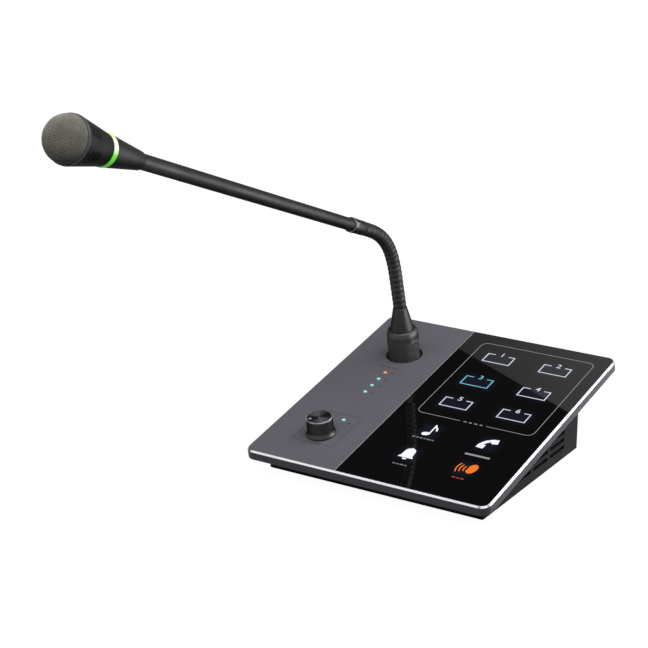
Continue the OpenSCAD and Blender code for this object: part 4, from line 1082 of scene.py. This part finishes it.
rim_dark = toned(tree, linear(84, 84, 86), rim_tone)
# Painted highlight and wear: the rim's edges are lightened toward near white.
treat(tree, surface, Base_Color=blend(tree, rim_wear_and_highlight, rim_dark, linear(190, 190, 190)),
      Metallic=0.4, Specular_IOR_Level=0.01, Specular_Tint=coat_tint,
      Roughness=use(tree, handling, Gloss=0.3, Spread=0.08)["Roughness"])
rim = add_piece("clamp_rim", spin(rim_profile), rim_finish, "arm", arm_frame)
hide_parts("grille_rim")

# Grille: plain-woven wire pressed into a dome, each wire over one and under the next, tinted dark
# olive by its lacquer. A dark foam plug fills the dome behind it.
wire_step = 0.7
wire_r = 0.17
wave = 0.15
dome_h = grille_high - grille_low
dome_r = (grille_r ** 2 + dome_h ** 2) / (2 * dome_h)
dome_place = grille_high - dome_r
wire_shell = dome_r - wire_r - wave
dome_reach = wire_shell * math.acos((grille_low - dome_place) / wire_shell)
wire_count = int(dome_reach / wire_step)


def dome_point(u, v, lift):
    from_pole = math.hypot(u, v)
    lean = from_pole / wire_shell
    spread = math.sin(lean) / from_pole if from_pole > 1e-9 else 0.0
    reach = wire_shell + lift
    return Vector((u * spread * reach, v * spread * reach, math.cos(lean) * reach + dome_place)) * MM


weave = bmesh.new()
for direction in (0, 1):
    for line in range(-wire_count, wire_count + 1):
        fixed = line * wire_step
        half = math.sqrt(max(0.0, dome_reach ** 2 - fixed ** 2))
        stations = int(half / (wire_step / 2))
        path = []
        for station in range(-stations, stations + 1):
            run = station * wire_step / 2
            crossing = math.cos(math.pi * (station / 2 + line + direction))
            spot = (fixed, run) if direction == 0 else (run, fixed)
            path.append(dome_point(spot[0], spot[1], wave * crossing))
        if len(path) > 2:
            add_tube(weave, path, wire_r * MM, 4)
wire_finish, tree, surface = new_finish("lacquered grille wire")
wire_tone = vary(tree, noise(tree, 160.0, 4.0), 0.82, 1.15)
treat(tree, surface, Base_Color=toned(tree, linear(146, 144, 134), wire_tone), Specular_IOR_Level=0.04,
      Roughness=vary(tree, noise(tree, 1200.0), 0.38, 0.55))
mesh_piece = add_piece("woven_grille", weave, wire_finish, "arm", arm_frame, 60.0)
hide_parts("grille")

foam_finish, tree, surface = new_finish("black foam")
foam_cells = put(tree, "TexVoronoi", Vector=object_spot(tree), Scale=1600.0).outputs["Distance"]
foam_tone = remap(tree, foam_cells, 0.0, 0.8, 0.5, 1.3)
treat(tree, surface, Base_Color=toned(tree, linear(66, 65, 60), foam_tone), Roughness=0.95)
raise_bump(tree, surface, foam_cells, 0.3)
foam_low = reach_of("foam_disc", arm_frame)[0]
foam_r = wire_shell - 0.75
foam_profile = [(0.0, foam_low), (foam_r - 0.3, foam_low), (foam_r - 0.1, dome_place)]
foam_profile += arc(0.0, dome_place, foam_r, 0.0, 90.0, 16)
foam = add_piece("foam_plug", spin(foam_profile, 64), foam_finish, "arm", arm_frame)
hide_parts("foam_disc")
